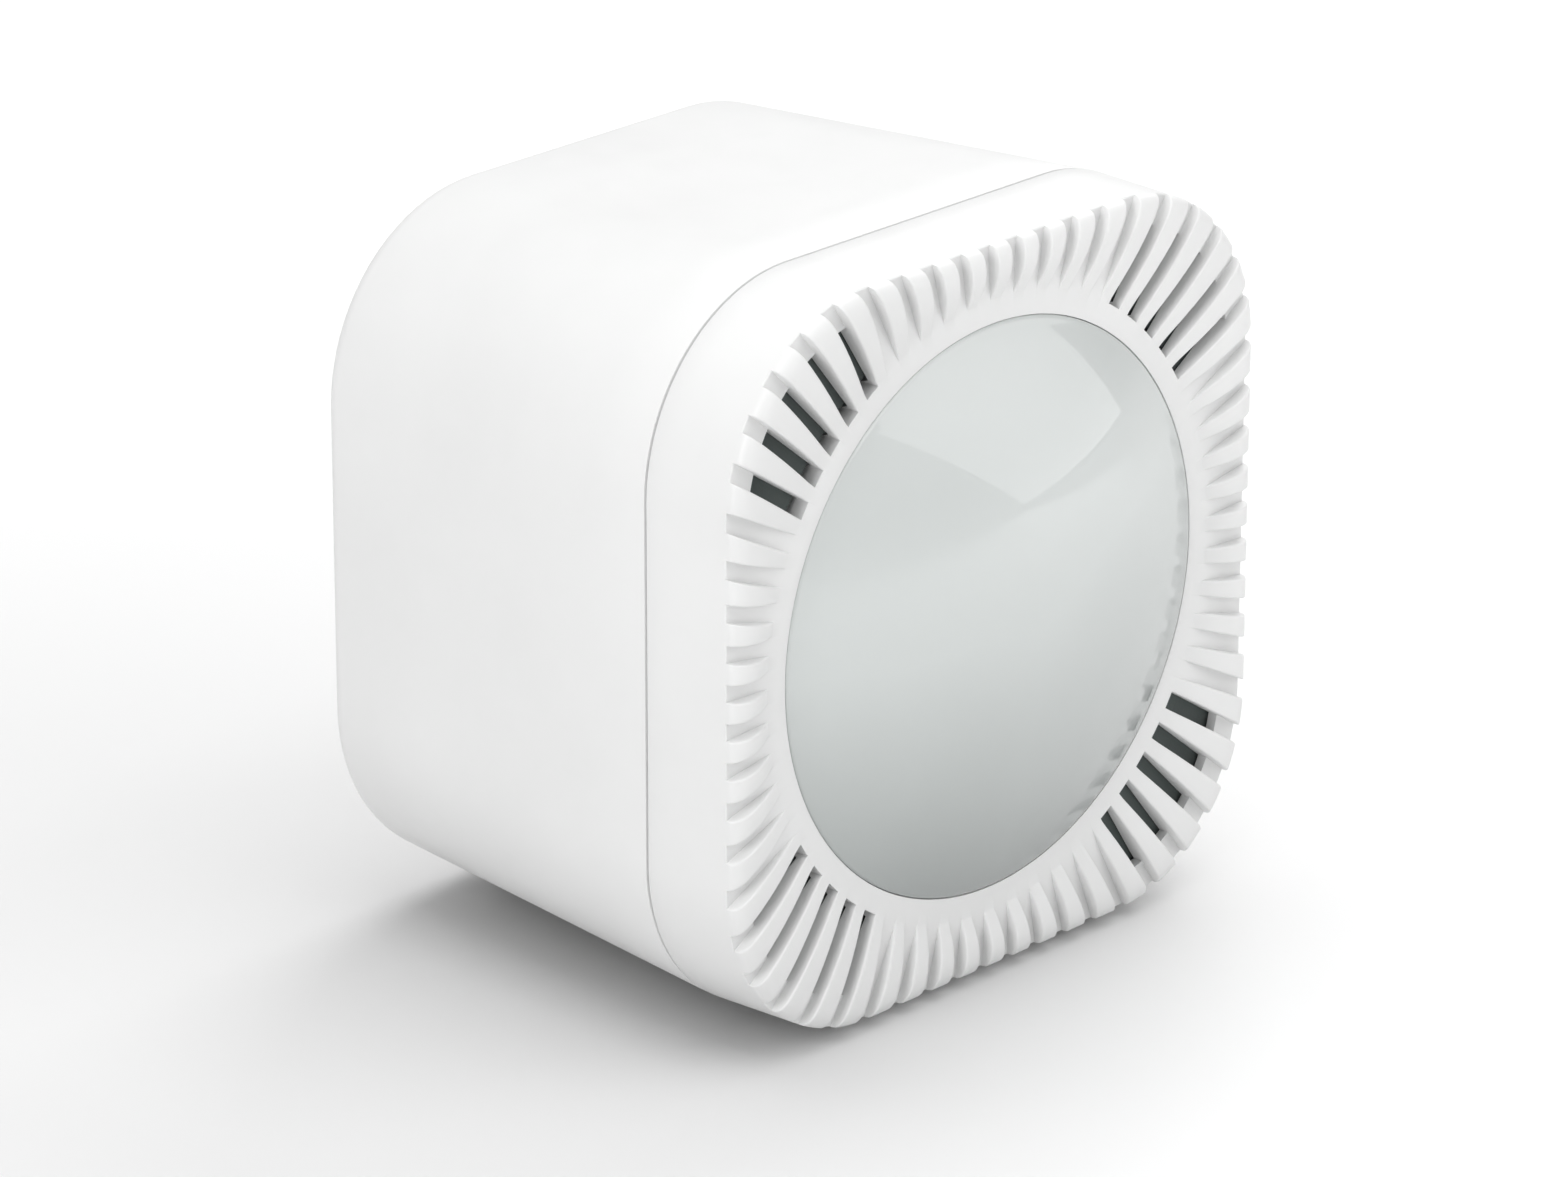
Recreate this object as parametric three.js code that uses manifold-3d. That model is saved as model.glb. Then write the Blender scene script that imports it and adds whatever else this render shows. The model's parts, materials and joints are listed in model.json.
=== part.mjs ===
// Air quality monitor: a rounded square casing with a lit dome behind a ribbed, vented front.
// Millimetres, +Z up, the front faces -Y, the origin is on the table under the middle of the casing.
// Inside the casing group, y = 0 is the flat ring around the dome, +Y runs back, z = 0 is mid height.
import * as THREE from 'three';
import { mergeVertices } from 'three/addons/utils/BufferGeometryUtils.js';
import Module from 'manifold-3d';

const wasm = await Module();
wasm.setup();

// --- Driving dimensions ---------------------------------------------------------------------------

const GAP = 0.3; // clearance between two pieces that meet
const PAST = 1; // how far a cutter runs past the face it cuts

// Casing
const SEAM_HALF = 42.5; // half the width and half the height, at the seam
const SEAM_CORNER = 21.7;
const SEAM_Y = 11.5;
const FRONT_HALF = 42.2;
const FRONT_CORNER = 21.4;
const REAR_HALF_X = 39.5;
const REAR_HALF_Z = 40;
const REAR_CORNER = 22.3;
const REAR_EDGE = 2.6; // rounding between the sides and the rear face
const DEPTH = 64.2; // ring to rear face
const WALL = 2.2;
const REAR_WALL = 2.8;
const CORNER_STEPS = 6; // flats in each rounded corner

// Front: ring, grooves, ribs and vent windows
const PLATE = 2.6; // thickness of the front plate
const WINDOW_PLATE = 1.2; // its thickness round the vent windows
const RING_INNER = 33.4;
const RING_OUTER = 35.8;
const GROOVES = 60;
const FRONT_STEPS = 2 * GROOVES;
const GROOVE_WIDTH = 2.02;
const WINDOWS_PER_CORNER = 5;
const WINDOW_HALF = 38.9; // rounded square outline that the windows stop at
const WINDOW_CORNER = 19.1;
const RIB_RISE = 1.55; // height of the ribs in front of the ring
const CREST_INSET = 2; // distance of a rib's crest from the side wall

// Dome and light
const DOME_RADIUS = 33.06;
const DOME_RISE = 7.3;
const DOME_SKIN = 2;
const FLANGE_RADIUS = 35;
const FLANGE_THICK = 1.5;
const GASKET_THICK = 1;
const LED_COUNT = 8;
const LED_CIRCLE = 20;
const LED_SIZE = 3.6;
const LED_THICK = 1.2;
const LED_BOARD_RADIUS = 31;
const BOARD_THIN = 1.2;

// Chassis
const TUB_HALF = 39.4;
const TUB_CORNER = 18.8;
const TUB_WALL = 1.4;
const TUB_FRONT = PLATE + 2 * GAP;
const TUB_REAR = 18;
const FLOOR_FRONT = 14;
const FLOOR_REAR = 16;
const LIGHT_WALL = 1; // thickness of the round wall that keeps the dome's light out of the air path
const BEZEL_SCREW = { x: 35.3, z: 16.3 };
const POST = { x: 27, z: 27, radius: 3.2, tip: 2.2 };
const CLIP = { room: 0.4, thick: 1.4, hook: 1.6, hookThick: 1.2, low: -3, high: 9 };
const AIR_HOLE = { circle: 41.5, radius: 2.6, spread: 9 }; // two in each corner, at 45 degrees +- the spread
const FILTER = { halfWidth: 10.8, thick: 2.5, lipRadius: 37 }; // stepped pads behind the windows
const CLIMATE = { x: 29.5, z: -29.5, board: 6, sensor: 2.5, sensorHeight: 0.9, seat: 5 };

// Particle counter
const COUNTER = { x: 25, low: -13, high: 23, wall: 1.5, depth: 21, cover: 6.3 };
const COUNTER_FLOOR = 2;
const COUNTER_INLET = { x: [-18, -12, -6], halfWidth: 1.5 };
const FAN = { x: 13, z: 5, hub: 4.5, radius: 9.5, height: 6, blades: 7, axle: 0.6, skin: 0.8, tilt: 35 };
const COIL_RADIUS = 3;
const LASER = { x: -15, z: 12, length: 10, radius: 2.6, lift: 4 };
const PHOTODIODE = { x: -15, z: 3, size: 4, height: 1.5 };

// Main board and what it carries
const BOARD_Y = 51;
const BOARD_THICK = 1.6;
const BOARD_HALF = 32;
const BOARD_CORNER = 16;
const USB = { x: 0, z: -22, width: 9, height: 3.3, skin: 0.35, room: 0.4 };
const TONGUE = { halfX: 3.35, halfZ: 0.35 };
const SWITCH = { x: 14, z: -22, size: 6, height: 3.5, plunger: 1.7, bore: 2 };
const BUTTON = { radius: 3.6, flange: 4.8, hole: 4, proud: 0.8, travel: 0.5, edge: 0.5 };
const CO2 = { x: [-30, 2], z: [-2.5, 18.5], height: 9, slots: [-24, -18, -12, -6] };
const SHIELD = { halfX: 9, z: [14, 28], height: 3 };
const PROCESSOR = { x: -16, z: -4, size: 10, height: 1.2 };
const CAPACITOR = { x: -16, z: -20, radius: 3, height: 7 };
const PLUG = { halfX: 4, halfZ: 2.5, height: 5 }; // cable connectors

// Fasteners and feet
const SCREW = { shank: 1, pilot: 1.3, clear: 1.4, head: 2.2, headThick: 1.2, socket: 0.95, counterbore: 2.6 };
const SCREW_LENGTH = { front: 9, rear: 8 };
const EXHAUST = { count: 7, pitch: 5, low: 6, high: 24, halfWidth: 1.1 };
const FOOT = { x: 15, radius: 4, pocket: 0.8, drop: 1.2, slope: 0.5 };
const FOOT_ROWS = [18, 55];

const WIDE_ROUND = 42; // sides of the round pieces about the dome's axis
const ROUND = 20;
const SMALL_ROUND = 12;
const TINY_ROUND = 10;

// --- Finishes -------------------------------------------------------------------------------------

const WHITE_SHELL = { color: 0xf0f1ef, roughness: 0.55, metalness: 0 };
const SMOKED_LENS = { color: 0xb4bab8, roughness: 0.08, metalness: 0 };
const DARK_FRAME = { color: 0x1b1c1c, roughness: 0.7, metalness: 0 };
const FOAM = { color: 0x2b2b2c, roughness: 0.95, metalness: 0 };
const REFLECTOR = { color: 0xf7f7f4, roughness: 0.35, metalness: 0 };
const GREEN_BOARD = { color: 0x1d5a35, roughness: 0.5, metalness: 0 };
const LED_PACKAGE = { color: 0xf2e9c4, roughness: 0.3, metalness: 0 };
const IVORY = { color: 0xe6e0cf, roughness: 0.5, metalness: 0 };
const CABLE = { color: 0x55585c, roughness: 0.6, metalness: 0 };
const BLUE_CASE = { color: 0x2c4f86, roughness: 0.4, metalness: 0.1 };
const BLACK_PLASTIC = { color: 0x161617, roughness: 0.5, metalness: 0 };
const COPPER = { color: 0xb87a4b, roughness: 0.4, metalness: 0.9 };
const BRASS = { color: 0xc9a24a, roughness: 0.35, metalness: 0.9 };
const STEEL = { color: 0xb5b8ba, roughness: 0.35, metalness: 0.9 };
const GOLD_CASE = { color: 0xcbb069, roughness: 0.35, metalness: 0.8 };
const RUBBER = { color: 0x3b3c3d, roughness: 0.9, metalness: 0 };

// --- Solids ---------------------------------------------------------------------------------------

// Turns a closed three.js geometry into a solid that can be joined and cut.
function solidOf(geometry) {
  const bare = geometry.clone();
  bare.deleteAttribute('normal');
  bare.deleteAttribute('uv');
  const merged = mergeVertices(bare, 1e-4);
  const index = merged.index.array;
  const corners = [];
  for (let i = 0; i < index.length; i += 3) {
    const [a, b, c] = [index[i], index[i + 1], index[i + 2]];
    if (a !== b && b !== c && c !== a) corners.push(a, b, c);
  }
  return new wasm.Manifold(new wasm.Mesh({
    numProp: 3,
    vertProperties: Float32Array.from(merged.attributes.position.array),
    triVerts: Uint32Array.from(corners),
  }));
}

function geometryOf(solid) {
  const mesh = solid.getMesh();
  const geometry = new THREE.BufferGeometry();
  geometry.setAttribute('position', new THREE.BufferAttribute(mesh.vertProperties, 3));
  geometry.setIndex(new THREE.BufferAttribute(mesh.triVerts, 1));
  geometry.computeVertexNormals();
  return geometry;
}

const join = (solids) => solids.reduce((whole, next) => whole.add(next));
const cut = (solid, cutters) => solid.subtract(join(cutters));

// A block from its low corner to its high corner.
function block([x0, y0, z0], [x1, y1, z1]) {
  const geometry = new THREE.BoxGeometry(x1 - x0, y1 - y0, z1 - z0);
  return solidOf(geometry.translate((x0 + x1) / 2, (y0 + y1) / 2, (z0 + z1) / 2));
}

// A round bar along Y, with a second radius where it tapers.
function rod(radius, y0, y1, { x = 0, z = 0, rearRadius = radius, sides = SMALL_ROUND } = {}) {
  const geometry = new THREE.CylinderGeometry(rearRadius, radius, y1 - y0, sides);
  return solidOf(geometry.translate(x, (y0 + y1) / 2, z));
}

// A turned piece about Y, from [radius, y] points.
function turned(profile, sides = ROUND) {
  return solidOf(new THREE.LatheGeometry(profile.map(([r, y]) => new THREE.Vector2(r, y)), sides));
}

function ring(inner, outer, y0, y1, sides = ROUND) {
  return turned([[inner, y0], [outer, y0], [outer, y1], [inner, y1], [inner, y0]], sides);
}

// Distance from the axis to the edge of a rounded rectangle, at a polar angle.
function edgeDistance(angle, halfX, halfZ, corner) {
  const alongX = Math.abs(Math.cos(angle));
  const alongZ = Math.abs(Math.sin(angle));
  const coreX = halfX - corner;
  const coreZ = halfZ - corner;
  if (alongZ * halfX <= alongX * coreZ) return halfX / alongX;
  if (alongX * halfZ <= alongZ * coreX) return halfZ / alongZ;
  const towards = alongX * coreX + alongZ * coreZ;
  return towards + Math.sqrt(towards ** 2 - coreX ** 2 - coreZ ** 2 + corner ** 2);
}

// An outline at a depth, given by its distance from the axis at each polar angle.
function polarOutline(y, reach) {
  return Array.from({ length: FRONT_STEPS }, (_, step) => {
    const angle = (step / FRONT_STEPS) * 2 * Math.PI;
    return [reach(angle) * Math.cos(angle), y, reach(angle) * Math.sin(angle)];
  });
}

// A rounded rectangle at a depth, with points on its corners only.
function outline(y, halfX, corner, halfZ = halfX) {
  return [[1, 1], [-1, 1], [-1, -1], [1, -1]].flatMap(([sideX, sideZ], quarter) => (
    Array.from({ length: CORNER_STEPS + 1 }, (_, step) => {
      const angle = ((quarter + step / CORNER_STEPS) * Math.PI) / 2;
      const x = sideX * (halfX - corner) + corner * Math.cos(angle);
      return [x, y, sideZ * (halfZ - corner) + corner * Math.sin(angle)];
    })));
}

// A closed skin over outlines that follow each other along the Y axis.
function loft(outlines) {
  const steps = outlines[0].length;
  const positions = outlines.flat(2);
  const faces = [];
  const front = outlines.length * steps;
  const rear = front + 1;
  const lastRow = (outlines.length - 1) * steps;
  positions.push(0, outlines[0][0][1], 0, 0, outlines.at(-1)[0][1], 0);
  for (let step = 0; step < steps; step++) {
    const next = (step + 1) % steps;
    faces.push(front, step, next, rear, lastRow + next, lastRow + step);
    for (let row = 0; row < lastRow; row += steps) {
      const [a, b, c, d] = [row + step, row + next, row + steps + step, row + steps + next];
      faces.push(a, c, b, b, c, d);
    }
  }
  const geometry = new THREE.BufferGeometry();
  geometry.setAttribute('position', new THREE.Float32BufferAttribute(positions, 3));
  geometry.setIndex(faces);
  return solidOf(geometry);
}

const mirrored = ({ x, z }) => [[x, z], [-x, z], [-x, -z], [x, -z]].map(([px, pz]) => ({ x: px, z: pz }));
const atAngle = (radius, angle) => ({ x: radius * Math.cos(angle), z: radius * Math.sin(angle) });

// --- The parts ------------------------------------------------------------------------------------

const group = new THREE.Group();
const casing = new THREE.Group();
casing.position.set(0, (DOME_RISE - DEPTH - BUTTON.proud) / 2, SEAM_HALF + FOOT.drop);
group.add(casing);

function addPart(name, solid, finish) {
  const mesh = new THREE.Mesh(geometryOf(solid), new THREE.MeshStandardMaterial(finish));
  mesh.name = name;
  casing.add(mesh);
}

// A screw along Y whose head is at the rear, with a hexagonal socket in the head.
function screw(headRear, length, place) {
  const headFront = headRear - SCREW.headThick;
  const tip = headFront - length;
  const at = { ...place, sides: TINY_ROUND };
  const socket = rod(SCREW.socket, headRear - SCREW.headThick * 0.6, headRear + PAST, { ...place, sides: 6 });
  const body = join([
    rod(SCREW.head, headFront, headRear, { ...at, rearRadius: SCREW.head * 0.92 }),
    rod(SCREW.shank * 0.7, tip, tip + SCREW.shank, { ...at, rearRadius: SCREW.shank }),
    rod(SCREW.shank, tip + SCREW.shank, headFront + PAST / 2, at),
  ]);
  return body.subtract(socket);
}

// Radial bars, one for each groove angle that is kept.
function spokes(y0, y1, keep) {
  const bars = [];
  const pitch = (2 * Math.PI) / GROOVES;
  for (let groove = 0; groove < GROOVES; groove++) {
    if (!keep(groove)) continue;
    const bar = new THREE.BoxGeometry(SEAM_HALF, y1 - y0, GROOVE_WIDTH);
    bar.translate(RING_OUTER - 2 * WALL + SEAM_HALF / 2, (y0 + y1) / 2, 0);
    bars.push(solidOf(bar.rotateY(-(groove + 0.5) * pitch)));
  }
  return join(bars);
}

// A bar from the middle out to one of the four corners.
function cornerBar(quarter, y0, y1, halfWidth) {
  const strip = new THREE.BoxGeometry(SEAM_HALF, y1 - y0, 2 * halfWidth);
  strip.translate(LIGHT_WALL_OUTER + SEAM_HALF / 2 - WALL, (y0 + y1) / 2, 0);
  return solidOf(strip.rotateY(-(quarter + 0.5) * (Math.PI / 2)));
}

// The corner space between the casing's wall and a round inner limit.
function cornerSpace(quarter, y0, y1, { halfWidth, inset, radius }) {
  const half = FRONT_HALF - WALL - inset;
  const corner = FRONT_CORNER - WALL - inset;
  const core = loft([outline(y0, half, corner), outline(y1, half, corner)]);
  const round = rod(radius, y0 - PAST, y1 + PAST, { sides: WIDE_ROUND });
  return cornerBar(quarter, y0 - PAST, y1 + PAST, halfWidth).intersect(core).subtract(round);
}

function frontBezel() {
  const wallAt = (inset) => (angle) => (
    edgeDistance(angle, FRONT_HALF - inset, FRONT_HALF - inset, FRONT_CORNER - inset));
  const seamWall = (angle) => edgeDistance(angle, SEAM_HALF, SEAM_HALF, SEAM_CORNER);
  const rampAt = (way) => (angle) => RING_OUTER + way * (wallAt(CREST_INSET)(angle) - RING_OUTER);
  const body = loft([
    ...[0, 0.5, 1].map((way) => polarOutline(-RIB_RISE * Math.sin((way * Math.PI) / 2), rampAt(way))),
    polarOutline(-RIB_RISE * 0.78, wallAt(CREST_INSET * 0.3)),
    polarOutline(-RIB_RISE * 0.25, wallAt(0)),
    polarOutline(SEAM_Y - GAP / 2, seamWall),
  ]);
  const hollow = loft([
    outline(PLATE, FRONT_HALF - WALL, FRONT_CORNER - WALL),
    outline(SEAM_Y + PAST, SEAM_HALF - WALL, SEAM_CORNER - WALL),
  ]);
  const perQuarter = GROOVES / 4;
  const firstWindow = (perQuarter - WINDOWS_PER_CORNER) / 2;
  const isWindow = (groove) => {
    const place = groove % perQuarter;
    return place >= firstWindow && place < firstWindow + WINDOWS_PER_CORNER;
  };
  const grooves = spokes(-RIB_RISE - PAST, 0, () => true);
  const windowLimit = loft([
    outline(-PAST, WINDOW_HALF, WINDOW_CORNER),
    outline(PLATE + PAST, WINDOW_HALF, WINDOW_CORNER),
  ]);
  const ringDisc = rod(RING_OUTER, -2 * PAST, PLATE + 2 * PAST, { sides: FRONT_STEPS });
  const windows = spokes(-PAST, PLATE + PAST, isWindow).intersect(windowLimit).subtract(ringDisc);
  const mouth = rod(RING_INNER, -PAST, PLATE + PAST, { sides: WIDE_ROUND });
  const bosses = mirrored(BEZEL_SCREW).map((at) => rod(SCREW.head, PLATE - PAST, FLOOR_FRONT - GAP, at));
  const pilots = mirrored(BEZEL_SCREW).map((at) => rod(SCREW.pilot, PLATE + PAST, FLOOR_FRONT + PAST, at));
  const coves = [0, 1, 2, 3].map((quarter) => cornerSpace(quarter, WINDOW_PLATE, PLATE + PAST, {
    halfWidth: FILTER.halfWidth + GAP, inset: 0, radius: FILTER.lipRadius - GAP }));
  const plate = cut(body, [hollow, grooves, windows, mouth, ...coves]);
  return cut(join([plate, ...bosses]), pilots);
}

function rearHousing() {
  const filletRows = [0, 0.5, 1].map((way) => {
    const turn = (way * Math.PI) / 2;
    const inset = REAR_EDGE * (1 - Math.cos(turn));
    const y = DEPTH - REAR_EDGE * (1 - Math.sin(turn));
    return outline(y, REAR_HALF_X - inset, REAR_CORNER - inset, REAR_HALF_Z - inset);
  });
  const body = loft([outline(SEAM_Y + GAP / 2, SEAM_HALF, SEAM_CORNER), ...filletRows]);
  const hollow = loft([
    outline(SEAM_Y - PAST, SEAM_HALF - WALL, SEAM_CORNER - WALL),
    outline(DEPTH - REAR_WALL, REAR_HALF_X - WALL, REAR_CORNER - WALL, REAR_HALF_Z - WALL),
  ]);
  const screwHoles = mirrored(POST).flatMap((at) => [
    rod(SCREW.clear, DEPTH - REAR_WALL - PAST, DEPTH, at),
    rod(SCREW.counterbore, DEPTH - REAR_WALL + 1, DEPTH + PAST, at),
  ]);
  const usbHole = usbPrism(
    USB.width / 2 + USB.room, USB.height / 2 + USB.room, DEPTH - REAR_WALL - PAST, DEPTH + PAST);
  const buttonHole = rod(BUTTON.hole, DEPTH - REAR_WALL - PAST, DEPTH + PAST, { ...SWITCH, sides: ROUND });
  const pockets = FOOT_ROWS.flatMap((y) => [-FOOT.x, FOOT.x].map((x) => (
    footDisc(FOOT.radius + GAP, x, y, -SEAM_HALF - PAST, footSeat(y)))));
  return cut(body, [hollow, ...screwHoles, usbHole, buttonHole, ...pockets, ...exhaustSlots()]);
}

// Height of the casing's underside at a depth, and of a foot's pocket in it.
const underside = (y) => -SEAM_HALF + ((y - SEAM_Y) * (SEAM_HALF - REAR_HALF_Z)) / (DEPTH - SEAM_Y);
const footSeat = (y) => underside(y) + FOOT.pocket;

function footDisc(radius, x, y, low, high, slope = 0) {
  const geometry = new THREE.CylinderGeometry(radius, radius - slope, high - low, SMALL_ROUND);
  return solidOf(geometry.rotateX(Math.PI / 2).translate(x, y, (low + high) / 2));
}

function exhaustSlots() {
  const { count, pitch, low, high, halfWidth } = EXHAUST;
  return Array.from({ length: count }, (_, slot) => {
    const x = (slot - (count - 1) / 2) * pitch;
    return block([x - halfWidth, DEPTH - REAR_WALL - PAST, low], [x + halfWidth, DEPTH + PAST, high]);
  });
}

function lightDome() {
  const sphere = (DOME_RADIUS ** 2 + DOME_RISE ** 2) / (2 * DOME_RISE);
  const capRows = 4;
  const cap = (radius, edge) => Array.from({ length: capRows + 1 }, (_, row) => {
    const turn = (Math.asin(edge / radius) * row) / capRows;
    return [radius * Math.sin(turn), sphere - DOME_RISE - radius * Math.cos(turn)];
  });
  const flangeFront = PLATE + GASKET_THICK + 2 * GAP;
  const flangeRear = flangeFront + FLANGE_THICK;
  const inner = DOME_RADIUS - DOME_SKIN;
  return turned([
    ...cap(sphere, DOME_RADIUS),
    [DOME_RADIUS, flangeFront],
    [FLANGE_RADIUS, flangeFront],
    [FLANGE_RADIUS, flangeRear],
    [inner, flangeRear],
    ...cap(sphere - DOME_SKIN, inner).reverse(),
  ], WIDE_ROUND);
}

function domeGasket() {
  const front = PLATE + GAP;
  return ring(RING_INNER + 0.2, FLANGE_RADIUS - 0.1, front, front + GASKET_THICK, WIDE_ROUND);
}

const REFLECTOR_FRONT = PLATE + GASKET_THICK + FLANGE_THICK + 3 * GAP;
const REFLECTOR_FLOOR = 9;
const LED_BOARD_FRONT = REFLECTOR_FLOOR + LED_THICK + GAP;
const LED_BOARD_REAR = LED_BOARD_FRONT + BOARD_THIN;
const ledPlaces = Array.from({ length: LED_COUNT }, (_, led) => (
  atAngle(LED_CIRCLE, ((led + 0.5) / LED_COUNT) * 2 * Math.PI)));
const PEG_CIRCLE = 26;
const pegPlaces = [0, 1, 2].map((peg) => atAngle(PEG_CIRCLE, Math.PI / 2 + (peg * 2 * Math.PI) / 3));
const PEG_RADIUS = 1;

const tile = ({ x, z }, size, y0, y1) => (
  block([x - size / 2, y0, z - size / 2], [x + size / 2, y1, z + size / 2]));

function reflectorCup() {
  const lip = FLANGE_RADIUS - GAP / 2;
  const foot = LED_BOARD_RADIUS - 1.4;
  const cup = turned([
    [0, REFLECTOR_FLOOR],
    [foot, REFLECTOR_FLOOR],
    [lip - LED_THICK, REFLECTOR_FRONT],
    [lip, REFLECTOR_FRONT],
    [lip, REFLECTOR_FRONT + GAP],
    [LED_BOARD_RADIUS, LED_BOARD_FRONT - GAP],
    [0, LED_BOARD_FRONT - GAP],
  ], WIDE_ROUND);
  const room = 0.8;
  return cut(cup, [
    ...ledPlaces.map((at) => tile(at, LED_SIZE + room, REFLECTOR_FLOOR - PAST, LED_BOARD_FRONT)),
    ...pegPlaces.map((at) => rod(PEG_RADIUS + GAP, REFLECTOR_FLOOR - PAST, LED_BOARD_FRONT, at)),
  ]);
}

function ledBoard() {
  const disc = rod(LED_BOARD_RADIUS, LED_BOARD_FRONT, LED_BOARD_REAR, { sides: WIDE_ROUND });
  const holes = pegPlaces.map((at) => (
    rod(PEG_RADIUS + GAP, LED_BOARD_FRONT - PAST, LED_BOARD_REAR + PAST, at)));
  return cut(disc, holes);
}

const LED_PLUG = { x: 0, z: -21, halfX: 5, halfZ: 2.5, rear: FLOOR_REAR + 0.5 };
const BOARD_SOCKETS = { led: { x: -9, z: -21 }, sensor: { x: -20, z: -21 } };
const COUNTER_FRONT = FLOOR_REAR + 2 * GAP;
const COUNTER_REAR = COUNTER_FRONT + COUNTER.depth;

const LIGHT_WALL_INNER = FLANGE_RADIUS + GAP;
const LIGHT_WALL_OUTER = LIGHT_WALL_INNER + LIGHT_WALL;

function innerChassis() {
  const tubCore = TUB_HALF - TUB_WALL;
  const coreCorner = TUB_CORNER - TUB_WALL;
  const tub = loft([outline(TUB_FRONT, TUB_HALF, TUB_CORNER), outline(TUB_REAR, TUB_HALF, TUB_CORNER)]);
  const frontHollow = loft([
    outline(TUB_FRONT - PAST, tubCore, coreCorner), outline(FLOOR_FRONT, tubCore, coreCorner)]);
  const rearHollow = loft([
    outline(FLOOR_REAR, tubCore, coreCorner), outline(TUB_REAR + PAST, tubCore, coreCorner)]);
  const lightWall = ring(LIGHT_WALL_INNER, LIGHT_WALL_OUTER, TUB_FRONT, FLOOR_FRONT + PAST, WIDE_ROUND);
  const overlap = PAST / 2;
  const postEnd = DEPTH - REAR_WALL - GAP;
  const posts = mirrored(POST).flatMap((at) => [
    rod(POST.radius, FLOOR_REAR - overlap, BOARD_Y - GAP, at),
    rod(POST.tip, BOARD_Y - PAST, postEnd, at),
  ]);
  const pegs = pegPlaces.flatMap((at) => [
    rod(2.4 * PEG_RADIUS, LED_BOARD_REAR + GAP, FLOOR_FRONT + overlap, at),
    rod(PEG_RADIUS, LED_BOARD_FRONT - GAP, FLOOR_FRONT, at),
  ]);
  const clipInner = COUNTER.x + CLIP.room;
  const clipOuter = clipInner + CLIP.thick;
  const hook = COUNTER_REAR + CLIP.room;
  const clips = [-1, 1].flatMap((side) => {
    const [nearX, farX] = [side * clipInner, side * clipOuter].sort((a, b) => a - b);
    const [hookX, edgeX] = [side * (clipInner - CLIP.hook), side * clipOuter].sort((a, b) => a - b);
    return [
      block([nearX, FLOOR_REAR - overlap, CLIP.low], [farX, hook + overlap, CLIP.high]),
      block([hookX, hook, CLIP.low], [edgeX, hook + CLIP.hookThick, CLIP.high]),
    ];
  });
  const climateSeat = tile(CLIMATE, CLIMATE.seat, CLIMATE_BOARD_REAR + GAP, FLOOR_FRONT + overlap);
  const airHoles = [0, 1, 2, 3].flatMap((quarter) => [-1, 1].map((side) => {
    const angle = THREE.MathUtils.degToRad(45 + 90 * quarter + side * AIR_HOLE.spread);
    return rod(AIR_HOLE.radius, FLOOR_FRONT - PAST, FLOOR_REAR + PAST, atAngle(AIR_HOLE.circle, angle));
  }));
  const plugHole = block(
    [LED_PLUG.x - LED_PLUG.halfX - PAST, FLOOR_FRONT - PAST, LED_PLUG.z - LED_PLUG.halfZ - PAST],
    [LED_PLUG.x + LED_PLUG.halfX + PAST, FLOOR_REAR + PAST, LED_PLUG.z + LED_PLUG.halfZ + PAST],
  );
  const screwHoles = mirrored(BEZEL_SCREW).map((at) => (
    rod(SCREW.clear, FLOOR_FRONT - PAST, FLOOR_REAR + PAST, at)));
  const pilots = mirrored(POST).map((at) => rod(SCREW.pilot, BOARD_Y + BOARD_THICK, postEnd + PAST, at));
  const frame = join([
    cut(tub, [frontHollow, rearHollow]), lightWall, ...posts, ...pegs, ...clips, climateSeat]);
  return cut(frame, [...airHoles, plugHole, ...screwHoles, ...pilots]);
}

// A foam pad behind the windows of one corner: its body is inside the tub, outside the light wall, and
// its lip lies over the tub's rim.
function inletFilter(quarter) {
  const front = PLATE + GAP;
  const rear = front + FILTER.thick;
  const half = TUB_HALF - TUB_WALL - GAP;
  const corner = TUB_CORNER - TUB_WALL - GAP;
  const core = loft([outline(front, half, corner), outline(rear, half, corner)]);
  const round = rod(LIGHT_WALL_OUTER + GAP, front - PAST, rear + PAST, { sides: WIDE_ROUND });
  const pad = cornerBar(quarter, front - PAST, rear + PAST, FILTER.halfWidth).intersect(core).subtract(round);
  const lipFront = WINDOW_PLATE + GAP;
  const limits = { halfWidth: FILTER.halfWidth, radius: FILTER.lipRadius };
  const lip = cornerSpace(quarter, lipFront, TUB_FRONT - GAP, { ...limits, inset: GAP });
  const neck = cornerSpace(quarter, lipFront, rear, { ...limits, inset: FRONT_HALF - WALL - half + GAP });
  return join([pad, lip, neck]);
}

const CLIMATE_BOARD_REAR = FLOOR_FRONT - 0.8;
const CLIMATE_BOARD_FRONT = CLIMATE_BOARD_REAR - 1;

// The particle counter: a tray with a fan and a laser, under a cover with a round guarded outlet.
const TRAY_REAR = COUNTER_REAR - COUNTER.cover;
const COUNTER_BOARD_REAR = COUNTER_FRONT + COUNTER_FLOOR + GAP + BOARD_THIN;
const ROTOR_FRONT = COUNTER_BOARD_REAR + 2.5;
const ROTOR_REAR = ROTOR_FRONT + FAN.height;
const AXLE_FRONT = ROTOR_FRONT - 1.5;

function counterTray() {
  const { x, low, high, wall } = COUNTER;
  const shell = block([-x, COUNTER_FRONT, low], [x, TRAY_REAR, high]);
  const hollow = block(
    [wall - x, COUNTER_FRONT + COUNTER_FLOOR, low + wall], [x - wall, TRAY_REAR + PAST, high - wall]);
  const { halfWidth } = COUNTER_INLET;
  const inlets = COUNTER_INLET.x.map((inletX) => block(
    [inletX - halfWidth, COUNTER_BOARD_REAR + 2 * PAST, low - PAST],
    [inletX + halfWidth, TRAY_REAR - 2 * PAST, low + wall + PAST],
  ));
  return cut(shell, [hollow, ...inlets]);
}

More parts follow.
